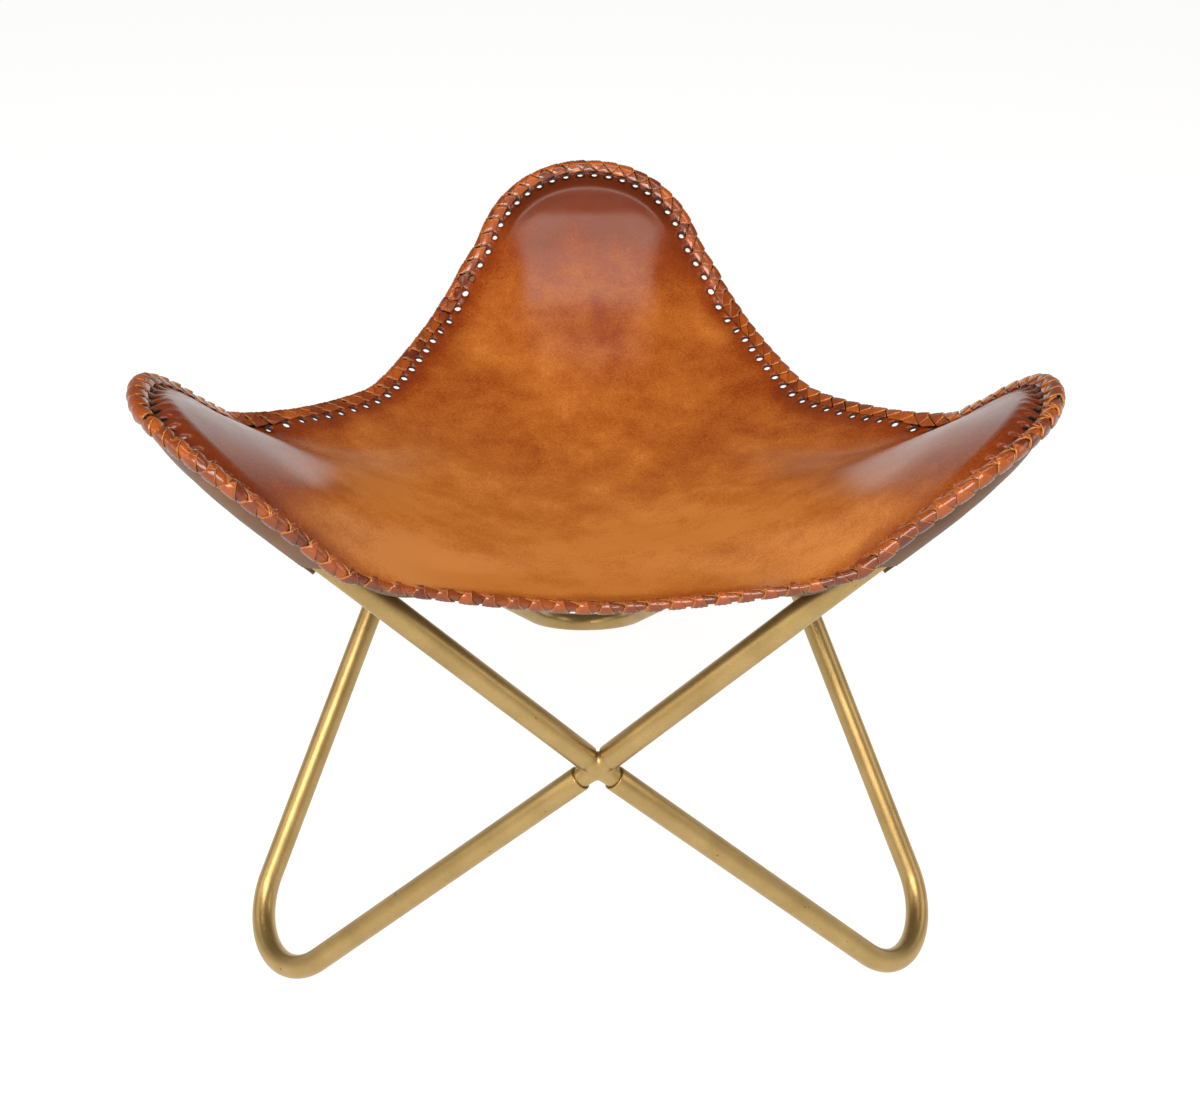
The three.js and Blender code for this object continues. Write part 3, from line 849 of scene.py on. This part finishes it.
def relax(grid):
    # draws the leather taut beyond the seam: each point moves to the middle of its neighbours, stays
    # clear of the tube, and the bowl is pressed down again to its depth; towards the bottom of the bowl
    # the ridges of the corners fade out, and round its middle the height left over is flattened
    third = 2 * math.pi / 3
    first = len(seamRows)
    weight = np.full(len(grid) - first, slingSizes["pull"])
    weight[0] = slingSizes["seamPull"]
    radius = np.hypot(grid[bandCount:, :, 0], grid[bandCount:, :, 1])
    share = radius / np.hypot(grid[bandCount - 1, :, 0], grid[bandCount - 1, :, 1])
    press = (1 - share ** 2) ** 2
    for step in range(slingSizes["smoothing"]):
        before = np.concatenate([turned(grid[:, -1:], -third), grid[:, :-1]], axis=1)
        after = np.concatenate([grid[:, 1:], turned(grid[:, :1], third)], axis=1)
        outer = grid[first - 1:-1]
        inner = np.concatenate([grid[first + 1:], grid[-2:-1].mean(axis=1, keepdims=True) + 0 * grid[-1:]])
        middle = (before[first:] + after[first:] + outer + inner) / 4
        grid[first:] = clearTube(grid[first:] + weight[:, None, None] * (middle - grid[first:]))
        grid[-1] = grid[-1].mean(axis=0) * np.array([0, 0, 1])
        grid[bandCount:, :, 2] += (seatHeight - grid[-1, 0, 2]) * press
    waves = np.fft.rfft(grid[bandCount:, :, 2], axis=1)
    fading = np.arange(waves.shape[1])[None, :] * slingSizes["evening"] * (1 - share.mean(axis=1))[:, None]
    grid[bandCount:, :, 2] = np.fft.irfft(waves * np.exp(-fading ** 2), n=grid.shape[1], axis=1)
    toMiddle = np.minimum(np.hypot(grid[..., 0], grid[..., 1]) / slingSizes["flatBottom"], 1)
    grid[..., 2] = seatHeight + (grid[..., 2] - seatHeight) * (1 - (1 - toMiddle) ** 3)
    return grid


def leaned(grid, corner, tip):
    # at the left and right corners one side of the seam leans up, and the tip is drawn in and down
    fromTip = np.abs(np.arange(grid.shape[1]) - tip) * columnStep
    aside = np.clip(grid[0, :, 1] / -slingSizes["leanOver"], -1, 1)
    rise = np.maximum(slingSizes["lean"][corner] * aside, 0)
    rise = rise * (1 - smoothStep(0, slingSizes["leanFade"], fromTip - pocketLength))
    nearTip = 1 - smoothStep(0, slingSizes["tipFade"], fromTip)
    drawIn, fall = slingSizes["tipFall"][corner]
    shift = (rise - fall * nearTip)[:, None] * topBend["normal"]
    shift = shift - (drawIn * nearTip)[:, None] * topBend["outward"]
    inset = np.linalg.norm(grid - grid[:1], axis=-1)
    share = 1 - smoothStep(slingSizes["laceInset"], slingSizes["leanInset"], inset)
    return grid + share[..., None] * shift


def hollowed(grid, corner):
    # between a corner's legs the leather hangs in a soft hollow, from the tube to a low roll below it
    fromApex = topBend["apexDistance"] - (grid - topBend["middle"]) @ topBend["outward"]
    start, full, roll, end = slingSizes["hollowRun"]
    depth = smoothStep(start, full, fromApex) * (1 - smoothStep(roll, end, fromApex))
    wide = slingSizes["hollowWide"] + slingSizes["hollowSpread"] * np.maximum(fromApex, 0)
    depth = depth * np.maximum(1 - (grid[..., 1] / wide) ** 2, 0) ** slingSizes["hollowRound"]
    depth[:len(seamRows)] = 0
    return grid - slingSizes["hollow"][corner] * depth[..., None] * topBend["normal"]


def wholeSling():
    # a corner's half and its mirror image, drawn taut, then shaped and turned to each of the corners
    half = halfSling()
    mirrored = half[-2:0:-1] * mirrorAcross
    whole = relax(np.concatenate([mirrored, half]).transpose(1, 0, 2))
    corners = []
    for corner, turn in cornerTurns.items():
        shaped = hollowed(leaned(whole, corner, tipColumn), corner)
        corners.append(place(clearTube(shaped), turn))
    return np.concatenate(corners, axis=1)


def gridNormals(grid):
    # square to both ways of the grid; the small number keeps the bowl's pole from dividing by nothing
    along = np.roll(grid, -1, axis=1) - np.roll(grid, 1, axis=1)
    inward = np.gradient(grid, axis=0)
    return unit(np.cross(along, inward) + 1e-12)


# The block's rim points as rows and columns, in order round the hole; points 0, 3, 6 and 9 are corners
holeRim = np.array([
    (0, 0), (0, 1), (0, 2), (0, 3), (1, 3), (2, 3), (3, 3), (3, 2), (3, 1), (3, 0), (2, 0), (1, 0),
])


def punch(grid, firstColumns):
    # moves the rim of each block of points onto a circle in the leather's plane, in even steps from its
    # first corner, which lies back along the edge and out, at 225 degrees
    ringRow = firstHoleRow + holeRim[:, 0]
    columns = firstColumns[:, None] + holeRim[:, 1]
    block = grid[firstHoleRow + 1:firstHoleRow + 3][:, firstColumns[:, None] + np.array([1, 2])]
    center = block.mean(axis=(0, 2))
    tangent = unit(grid[ringRow[0], columns[:, 3]] - grid[ringRow[0], columns[:, 0]])
    inward = grid[ringRow[6], columns[:, 6]] - grid[ringRow[3], columns[:, 3]]
    inward = unit(inward - (inward * tangent).sum(-1, keepdims=True) * tangent)
    angle = math.radians(225) + 2 * math.pi / len(holeRim) * np.arange(len(holeRim))
    circle = np.cos(angle)[None, :, None] * tangent[:, None] + np.sin(angle)[None, :, None] * inward[:, None]
    grid[ringRow[None, :], columns] = center[:, None] + slingSizes["holeRadius"] * circle
    return grid


def solidFaces(faces, columnCount, firstColumns):
    # the band's faces without those inside the punched holes
    cell = faces.min(axis=1)
    row = cell // columnCount
    inRow = (row >= firstHoleRow) & (row < firstHoleRow + blockPoints - 1)
    holed = np.zeros(columnCount, bool)
    for step in range(blockPoints - 1):
        holed[firstColumns + step] = True
    leftColumn = faces[:, 0] % columnCount
    return faces[~(inRow & holed[leftColumn])]


def dropUnused(points, faces, attributes):
    # leaves out the points that no face uses, such as those inside the holes
    used = np.unique(np.concatenate([np.ravel(face) for face in faces]))
    order = np.full(len(points), -1)
    order[used] = np.arange(used.size)
    kept = {key: values[used] for key, values in attributes.items()}
    return points[used], [order[face] for face in faces], kept


def thicken(piece, underMaterial, rimMaterial):
    # half the leather's thickness to each side of the sheet, with finishes for its under face and rim
    modifier = piece.modifiers.new("leather_thickness", "SOLIDIFY")
    modifier.thickness = slingSizes["thickness"]
    modifier.offset = 0.0
    modifier.use_even_offset = False
    modifier.material_offset = underMaterial
    modifier.material_offset_rim = rimMaterial


slingGrid = wholeSling()
loopCount = slingGrid.shape[1]
holeColumns = np.arange(firstHoleColumn, loopCount, slingSizes["columnsPerStitch"])
edgeRun = runAlong(slingGrid[0])
edgeLength = edgeRun[-1] + np.linalg.norm(slingGrid[0, 0] - slingGrid[0, -1])
holeRuns = edgeRun[holeColumns] + blockMiddle * (edgeRun[1] - edgeRun[0])
rowInsets = np.linalg.norm(slingGrid - slingGrid[:1], axis=2).mean(1)

# The leather's tone is palest in the front of the seat. Towards the back and up the corners it drops by an
# amount between two places, as painted shade that evens out the lamps' stronger light there; out into the
# wings it drops the same way.
slingToneAndShade = {
    # back and high: painted shade on the back and the corners, which the lamps light more
    "back": (0.46, -0.17, 0.04),
    "high": (0.45, 0.33, 0.42),
    "wide": (0.35, 0.13, 0.22),
    "edgeKeep": 0.4,
    "edge": (0.006, 0.035),
    # painted shade under the lacing, up to this inset from the edge
    "shadeUnderLace": 0.0065,
    "bowlInset": 0.1,
}


def toneAndShadeOf(points, inset):
    # one, less each drop, times the share that is kept near the edge, less one under the lacing as painted
    # shade
    toneAndShade = 1.0
    aside = np.abs(points[:, 0] - stoolAxis[0])
    for key, value in (("back", points[:, 1]), ("high", points[:, 2]), ("wide", aside)):
        drop, low, high = slingToneAndShade[key]
        toneAndShade = toneAndShade - drop * smoothStep(low, high, value)
    keep = slingToneAndShade["edgeKeep"]
    toneAndShade = toneAndShade * (keep + (1 - keep) * smoothStep(*slingToneAndShade["edge"], inset))
    return toneAndShade - (inset < slingToneAndShade["shadeUnderLace"])


def makeSling():
    # the seam and the tube's band carry a column for every sixth of a stitch, the bowl one for each three
    # of those, with a fan of two triangles and a quad between them; the seam is drawn in at each stitch
    grid = slingGrid.copy()
    holeMiddle = firstHoleColumn + blockMiddle
    phase = 2 * math.pi * (np.arange(loopCount) - holeMiddle) / slingSizes["columnsPerStitch"]
    fade = np.exp(-(rowInsets / slingSizes["puckerFade"]) ** 2)
    depth = -slingSizes["pucker"] * np.cos(phase)[None, :] * fade[:, None]
    grid = grid + depth[..., None] * gridNormals(grid)
    grid = punch(grid, holeColumns)
    band = grid[:bandCount].reshape(-1, 3)
    stride = slingSizes["bowlStride"]
    inner = grid[bandCount:-1, ::stride]
    innerCount = inner.shape[1]
    points = np.concatenate([band, inner.reshape(-1, 3), grid[-1, :1]])
    bandFaces = solidFaces(gridFaces(bandCount, loopCount, wrapColumns=True), loopCount, holeColumns)
    innerFaces = gridFaces(len(inner), innerCount, wrapColumns=True) + len(band)
    i = np.arange(innerCount)
    outer = (bandCount - 1) * loopCount + (stride * i[:, None] + np.arange(stride + 1)) % loopCount
    near = len(band) + i
    nextNear = len(band) + (i + 1) % innerCount
    poleRow = len(band) + (len(inner) - 1) * innerCount
    pole = np.full(innerCount, len(points) - 1)
    triangles = np.concatenate([
        np.stack([outer[:, 0], outer[:, 1], near], -1),
        np.stack([outer[:, 2], outer[:, 3], nextNear], -1),
        np.stack([poleRow + i, poleRow + (i + 1) % innerCount, pole], -1),
    ])
    quads = np.concatenate([bandFaces, innerFaces, np.stack([outer[:, 1], outer[:, 2], nextNear, near], -1)])
    inset = np.full(len(points), slingToneAndShade["bowlInset"])
    inset[:len(band)] = np.repeat(rowInsets[:bandCount], loopCount)
    toneAndShade = {"toneAndShade": toneAndShadeOf(points, inset)}
    points, faces, attributes = dropUnused(points, [quads, triangles], toneAndShade)
    # the third finish, for the rim, is near black, partly painted shade
    finishes = [leatherFinish, suedeFinish, edgeFinish]
    piece = makePiece("sling_leather", points, [*faces[0], *faces[1]], finishes,
                      ["sling_seat"], attributes)
    thicken(piece, 1, 2)
    return piece


slingPiece = makeSling()
print("sling made")


pocketSizes = {
    "leave": math.radians(90),
    "hemStep": 0.003,
    "sag": 0.006,
    "rows": 24,
    "trimFrom": 0.8,
    "trim": 0.9,
}


def makePocket(corner, turn):
    # under layer of a corner: flat in the seam, round the tube from below, then straight in to a hem
    # that runs across from leg to leg and slants up to the seam at both mouths
    count = int(pocketLength / columnStep)
    along = columnPlaces[:count + 1]
    axis, outward = pocketAxis(along)
    margin = seamMargin(along)
    drop = layerStep - seamLift(along)
    leave = leaveInset(margin, pocketSizes["leave"], drop)
    depth = (axis - topBend["middle"]) @ topBend["outward"]
    straight = depth - depth[-1] + pocketSizes["hemStep"]
    trim = 1 - pocketSizes["trim"] * smoothStep(pocketSizes["trimFrom"], 1, along)
    length = (leave + straight - seamRows[-1]) * trim
    share = np.linspace(0, 1, pocketSizes["rows"] + 1)[1:]
    seam = np.broadcast_to(seamRows, (len(along), len(seamRows)))
    inset = np.concatenate([seam, seamRows[-1] + length[:, None] * share], axis=1)
    out, up = wrapSection(np.minimum(inset, leave[:, None]), margin[:, None], drop[:, None])
    beyond = np.maximum(inset - leave[:, None], 0)
    aside = axis[:, 1] / axis[:, 1].max()
    up = up + pocketSizes["sag"] * (1 - aside ** 2)[:, None] * (beyond / straight[:, None]) ** 2
    half = axis[:, None] + out[..., None] * outward[:, None] - up[..., None] * topBend["normal"]
    half = half - beyond[..., None] * topBend["outward"]
    whole = np.concatenate([half[:0:-1] * mirrorAcross, half]).transpose(1, 0, 2)
    grid = place(leaned(whole, corner, count), turn)
    columnCount = grid.shape[1]
    starts = holeColumns[holeColumns < 2 * halfColumns] - tipColumn + count
    # only the holes whose whole block lies on the pocket
    starts = starts[(starts >= 1) & (starts + blockPoints < columnCount)]
    grid = punch(grid, starts)
    faces = solidFaces(gridFaces(*grid.shape[:2]), columnCount, starts)[:, ::-1]
    points, faces, attributes = dropUnused(grid.reshape(-1, 3), [faces], {})
    name = f"pocket_{corner}"
    piece = makePiece(f"{name}_leather", points, faces[0], [pocketFinish, suedeFinish, suedeFinish],
                      [name])
    thicken(piece, 1, 2)
    return piece


pocketPieces = [makePocket(corner, turn) for corner, turn in cornerTurns.items()]
print("pockets made")


# Edge lacing: strips of leather that slant from each hole over the edge, from above and from below,
# and cross on the rim as a plait

laceSizes = {
    "thickness": 0.0012,
    "fill": 0.92,
    "slant": {"left": 0.8, "front": 1.15, "right": 1.35},
    "step": {"left": -0.27, "front": -0.4, "right": -0.52},
    "crossing": {"left": ("over", "under"), "front": ("passing", "ending"), "right": ("over", "under")},
    "fade": 0.012,
    "holeEnd": -0.8,
    "overlap": 0.14,
    "meet": 0.2,
    "heightUnit": 0.001,
    "stations": 15,
    "runJitter": 0.0004,
    "widthJitter": 0.06,
    "liftJitter": 0.00015,
    "tone": (0.5, 0.45),
    "sideCutAndHighlight": 6,
}
# A strip's section: half widths across and thicknesses up, flat below and rounded off above
laceSection = np.array([
    (-1, 0.0), (-1, 0.7), (-0.9, 0.96), (-0.5, 1.0), (0, 1.02), (0.5, 1.0), (0.9, 0.96), (1, 0.7), (1, 0.0),
    (0.5, 0.0), (0, 0.0), (-0.5, 0.0),
])


# A strip is two lanes: one flat on the leather from its hole, and one that starts on top of that and
# crosses the rim. A lane has its far end, where its hole is -1 and the middle of the rim 0, the height of
# its under face over the leather along the way in millimetres, its width there, how far its start is cut
# along the edge, how far it rolls to one side, and how pale its start and end are.
laceLanes = {
    "flat": {"height": (-0.5, 0.1, 0.15, 0.1), "wide": (0.9, 1, 1, 1),
             "skew": 0.8, "roll": 0.2, "start": 0.3, "end": 0.0},
    "over": {"to": 0.32, "height": (1.15, 1.2, 1.25, 1.0, 0.0), "wide": (1, 1, 1, 0.95, 0.6),
             "skew": 0.0, "roll": 0.3, "start": 0.9, "end": 0.0},
    "under": {"to": 0.15, "height": (1.15, 1.15, 0.9, 0.3, -0.3), "wide": (1, 1, 1, 0.95, 0.6),
              "skew": 0.0, "roll": 0.3, "start": 0.9, "end": 0.0},
    "passing": {"to": 0.3, "height": (1.15, 0.5, 0.15, 0.1, 0.1), "wide": (1, 1.05, 1.08, 1.08, 1),
                "skew": 0.0, "roll": 0.2, "start": 0.9, "end": 0.0},
    "ending": {"to": 0.0, "height": (0.8, 1.1, 1.25, 1.3, 1.25), "wide": (1, 1, 1, 1, 0.95),
               "skew": 0.0, "roll": 0.3, "start": 0.3, "end": 1.0},
}


def lacingLanes(side):
    # the lanes of the strips from above, then of those from below: flat first, then across the rim
    step = laceSizes["step"][side]
    flat = laceLanes["flat"] | {"from": laceSizes["holeEnd"], "to": step + laceSizes["overlap"]}
    return [(flat, laceLanes[key] | {"from": step}) for key in laceSizes["crossing"][side]]


def edgeTables():
    # along the whole edge: the middle of its layers, the ways out and up, and half the layers' depth
    edge = slingGrid[0]
    inward = unit(slingGrid[firstHoleRow + 1] - edge)
    along = unit(np.roll(edge, -1, axis=0) - np.roll(edge, 1, axis=0))
    up = unit(np.cross(along, inward))
    fromTip = np.abs(np.arange(loopCount) % (2 * halfColumns) - tipColumn) * columnStep
    double = 1 - smoothStep(0, laceSizes["fade"], fromTip - pocketLength)
    half = slingSizes["thickness"] / 2 + double * layerStep / 2
    return edge - up * (double * layerStep / 2)[:, None], -inward, up, half


edgeTable = edgeTables()


def edgeAt(run):
    # the tables' values at runs along the edge
    found = []
    for table in edgeTable:
        columns = table.reshape(loopCount, -1).T
        values = [np.interp(run, edgeRun, column, period=edgeLength) for column in columns]
        found.append(np.stack(values, -1) if len(values) > 1 else values[0])
    return found


def laceReach(half):
    # from a hole over the leather to the middle of the rim
    return slingSizes["holeInset"] + half * (math.pi / 2 - 1)


def onEdge(run, acrossEdge, height):
    # a point at a run along the edge, across it from the upper hole (-1) over the rim to the lower (1)
    core, out, up, half = edgeAt(run)
    past = np.abs(acrossEdge) * laceReach(half)
    angle = np.clip(past / half, 0, math.pi / 2)
    inset = np.maximum(past - half * math.pi / 2, 0)
    side = np.where(acrossEdge < 0, 1.0, -1.0)
    normal = np.cos(angle)[..., None] * out + (side * np.sin(angle))[..., None] * up
    base = core - (half + inset)[..., None] * out + half[..., None] * normal
    return base + height[..., None] * normal


def laneStrips(runs, lane, slant, side):
    # one strip for each run: a flat section carried along its lane
    count = len(runs)
    share = np.linspace(0, 1, laceSizes["stations"])
    marks = np.linspace(0, 1, len(lane["height"]))
    height = np.interp(share, marks, lane["height"]) * laceSizes["heightUnit"]
    wide = np.interp(share, marks, lane["wide"])
    center = lane["from"] + (lane["to"] - lane["from"]) * share
    reach = laceReach(edgeAt(runs)[3])
    jitter = randomDraw.uniform(-1, 1, (count, 3))
    width = laceSizes["fill"] * stitchPitch / math.hypot(1, slant)
    widthHere = width * (1 + laceSizes["widthJitter"] * jitter[:, 0])
    along = runs[:, None] + slant * (center + 1)[None, :] * reach[:, None]
    along = along + laceSizes["runJitter"] * jitter[:, 1:2]
    # the section lies square to the strip, or turned by the skew to lie along the edge
    square = np.array([-1.0, slant]) / math.hypot(1, slant)
    skew = (lane["skew"] * (1 - share))[None, :, None]
    offset = laceSection[None, None, :, 0] * (widthHere[:, None, None] * wide[None, :, None] / 2)
    run = along[..., None] + offset * (square[0] + skew * (-math.hypot(1, slant) - square[0]))
    acrossEdge = center[None, :, None] + offset * (1 - skew) * square[1] / reach[:, None, None]
    lift = height[None, :, None] + laceSizes["thickness"] * laceSection[None, None, :, 1]
    lift = lift + lane["roll"] * laceSizes["heightUnit"] * laceSection[None, None, :, 0]
    lift = np.broadcast_to(lift + laceSizes["liftJitter"] * jitter[:, 2, None, None], run.shape)
    points = onEdge(run, side * -acrossEdge, lift)
    middleTone, toneSpread = laceSizes["tone"]
    tone = np.broadcast_to(middleTone + toneSpread * jitter[:, 0, None, None], run.shape)
    # the strip's sides are paler: the raw cut's colour and a painted highlight along its edges
    cutAndHighlight = np.abs(laceSection[None, None, :, 0]) ** laceSizes["sideCutAndHighlight"]
    cutAndHighlight = np.broadcast_to(cutAndHighlight, run.shape).copy()
    cutAndHighlight[:, 0] = np.maximum(cutAndHighlight[:, 0], lane["start"])
    cutAndHighlight[:, -1] = np.maximum(cutAndHighlight[:, -1], lane["end"])
    return points, tone, cutAndHighlight


def makeLacing(side, firstStitch):
    # the under strips slant so that each upper strip passes between two of them a little past the rim
    name = f"edge_lacing_{side}"
    stitches = (firstStitch + np.arange(slingSizes["stitchesPerSide"])) % len(holeRuns)
    runs = holeRuns[stitches]
    slant = laceSizes["slant"][side]
    reach = laceReach(slingSizes["thickness"] / 2)
    meet = laceSizes["meet"]
    underSlant = ((1 + meet) * slant * reach - stitchPitch / 2) / ((1 - meet) * reach)
    allPoints, allTones, allCutsAndHighlights, allFaces = [], [], [], []
    total = 0
    around = len(laceSection)
    stations = laceSizes["stations"]
    stripFaces = gridFaces(stations, around, wrapColumns=True)
    upperLanes, lowerLanes = lacingLanes(side)
    families = [(-1, slant, lane) for lane in upperLanes] + [(1, underSlant, lane) for lane in lowerLanes]
    for facing, slantHere, lane in families:
        points, tone, cutAndHighlight = laneStrips(runs, lane, slantHere, facing)
        starts = total + stations * around * np.arange(len(runs))
        ends = np.stack([np.arange(around)[::-1], (stations - 1) * around + np.arange(around)])
        flip = slice(None, None, -facing)
        allFaces.extend((stripFaces[:, flip][None] + starts[:, None, None]).reshape(-1, 4).tolist())
        allFaces.extend((ends[:, flip][None] + starts[:, None, None]).reshape(-1, around).tolist())
        allPoints.append(points.reshape(-1, 3))
        allTones.append(tone.ravel())
        allCutsAndHighlights.append(cutAndHighlight.ravel())
        total += points.size // 3
    attributes = {"tone": np.concatenate(allTones), "cutAndHighlight": np.concatenate(allCutsAndHighlights)}
    return makePiece(f"{name}_strips", np.concatenate(allPoints), allFaces, [laceFinish],
                     [name], attributes)


stitchesPerSide = slingSizes["stitchesPerSide"]
lacePieces = [
    makeLacing(side, stitchesPerSide // 2 + stitchesPerSide * i)
    for i, side in enumerate(sideTurns)
]
print("lacing made")


# Studio: a white floor that keeps the stool's shadow, and soft lamps

studio = {
    "floorSize": 16.0,
    "floorGlow": 0.9,
    "floorColour": 0.25,
    "floorBounce": 0.25,
    "worldLow": 0.58,
    "worldHigh": 0.12,
    "worldFront": 0.3,
    "wallTop": 0.45,
    "frontFrom": (-0.1, -0.7),
    "aimHeight": 0.32,
    "worldTint": (1.0, 0.95, 0.88),
    "lampTint": (1.0, 0.94, 0.85),
}


def greyDiffuse(tree, grey):
    return addNode(tree, "ShaderNodeBsdfDiffuse", inputs={"Color": (grey, grey, grey, 1)}).outputs[0]


def makeFloor():
    # the camera and mirror images see a glowing white with the stool's shadow, other light a plain grey
    mesh = bpy.data.meshes.new("studio_floor")
    half = studio["floorSize"] / 2
    corners = [(-half, -half, 0), (half, -half, 0), (half, half, 0), (-half, half, 0)]
    mesh.from_pydata(corners, [], [(0, 1, 2, 3)])
    floor = bpy.data.objects.new("studio_floor", mesh)
    scene.collection.objects.link(floor)
    finish = bpy.data.materials.new("white_floor")
    finish.use_nodes = True
    tree = finish.node_tree
    tree.nodes.remove(tree.nodes["Principled BSDF"])
    path = addNode(tree, "ShaderNodeLightPath")
    seen = mathOf(tree, "MAXIMUM", path.outputs["Is Camera Ray"], path.outputs["Is Glossy Ray"])
    seen = mathOf(tree, "MAXIMUM", seen, path.outputs["Is Transmission Ray"])
    white = {"Color": (1, 1, 1, 1), "Strength": studio["floorGlow"]}
    glow = addNode(tree, "ShaderNodeEmission", inputs=white).outputs[0]
    lit = greyDiffuse(tree, studio["floorColour"])
    both = addNode(tree, "ShaderNodeAddShader", inputs={0: lit, 1: glow}).outputs[0]
    plain = greyDiffuse(tree, studio["floorBounce"])
    pick = addNode(tree, "ShaderNodeMixShader", inputs={"Fac": seen, 1: plain, 2: both}).outputs[0]
    setInputs(tree, tree.nodes["Material Output"], {"Surface": pick})
    mesh.materials.append(finish)


def makeWorld():
    # a plain room: pale walls, a dim ceiling, and more light from the front
    world = bpy.data.worlds.new("studio_world")
    scene.world = world
    world.use_nodes = True
    tree = world.node_tree
    direction = addNode(tree, "ShaderNodeTexCoord").outputs["Generated"]
    parts = addNode(tree, "ShaderNodeSeparateXYZ", inputs={"Vector": direction})
    brightness = (studio["worldLow"], studio["worldHigh"])
    walls = remap(tree, parts.outputs["Z"], 0.0, studio["wallTop"], *brightness)
    front = remap(tree, parts.outputs["Y"], *studio["frontFrom"], 0.0, studio["worldFront"])
    glow = {"Color": (*studio["worldTint"], 1), "Strength": mathOf(tree, "ADD", walls, front)}
    setInputs(tree, tree.nodes["Background"], glow)


studioLamps = {
    "overhead_softbox": {"place": (0.0, 0.0, 1.9), "size": (1.3, 0.24), "watts": 5.0},
    "key_softbox": {"place": (-0.6, -1.9, 2.1), "size": (2.2, 0.9), "watts": 52.0},
    "left_softbox": {"place": (-1.9, -0.5, 1.2), "size": (1.0, 1.4), "watts": 7.0},
    "right_softbox": {"place": (1.9, -0.3, 1.3), "size": (1.0, 1.4), "watts": 8.0},
    "front_softbox": {"place": (0.0, -2.2, 0.8), "size": (2.2, 0.7), "watts": 3.0},
    "glint_softbox": {"place": (-0.2, -1.1, 2.0), "size": (0.5, 0.18), "watts": 5.0},
}


def makeLamps():
    # soft boxes that all face the seat, with their width level
    levelHint = np.array([0.0, 1.0, 0.02])
    for name, lamp in studioLamps.items():
        light = bpy.data.lights.new(name, "AREA")
        light.shape = "RECTANGLE"
        light.size, light.size_y = lamp["size"]
        light.energy = lamp["watts"]
        light.color = studio["lampTint"]
        box = bpy.data.objects.new(name, light)
        scene.collection.objects.link(box)
        spot = np.array(lamp["place"])
        back = unit(spot - np.append(stoolAxis, studio["aimHeight"]))
        right = unit(np.cross(levelHint, back))
        box.matrix_world = facingMatrix(right, back, spot)


makeFloor()
makeWorld()
makeLamps()
scene.view_settings.view_transform = "Standard"
print("studio made")
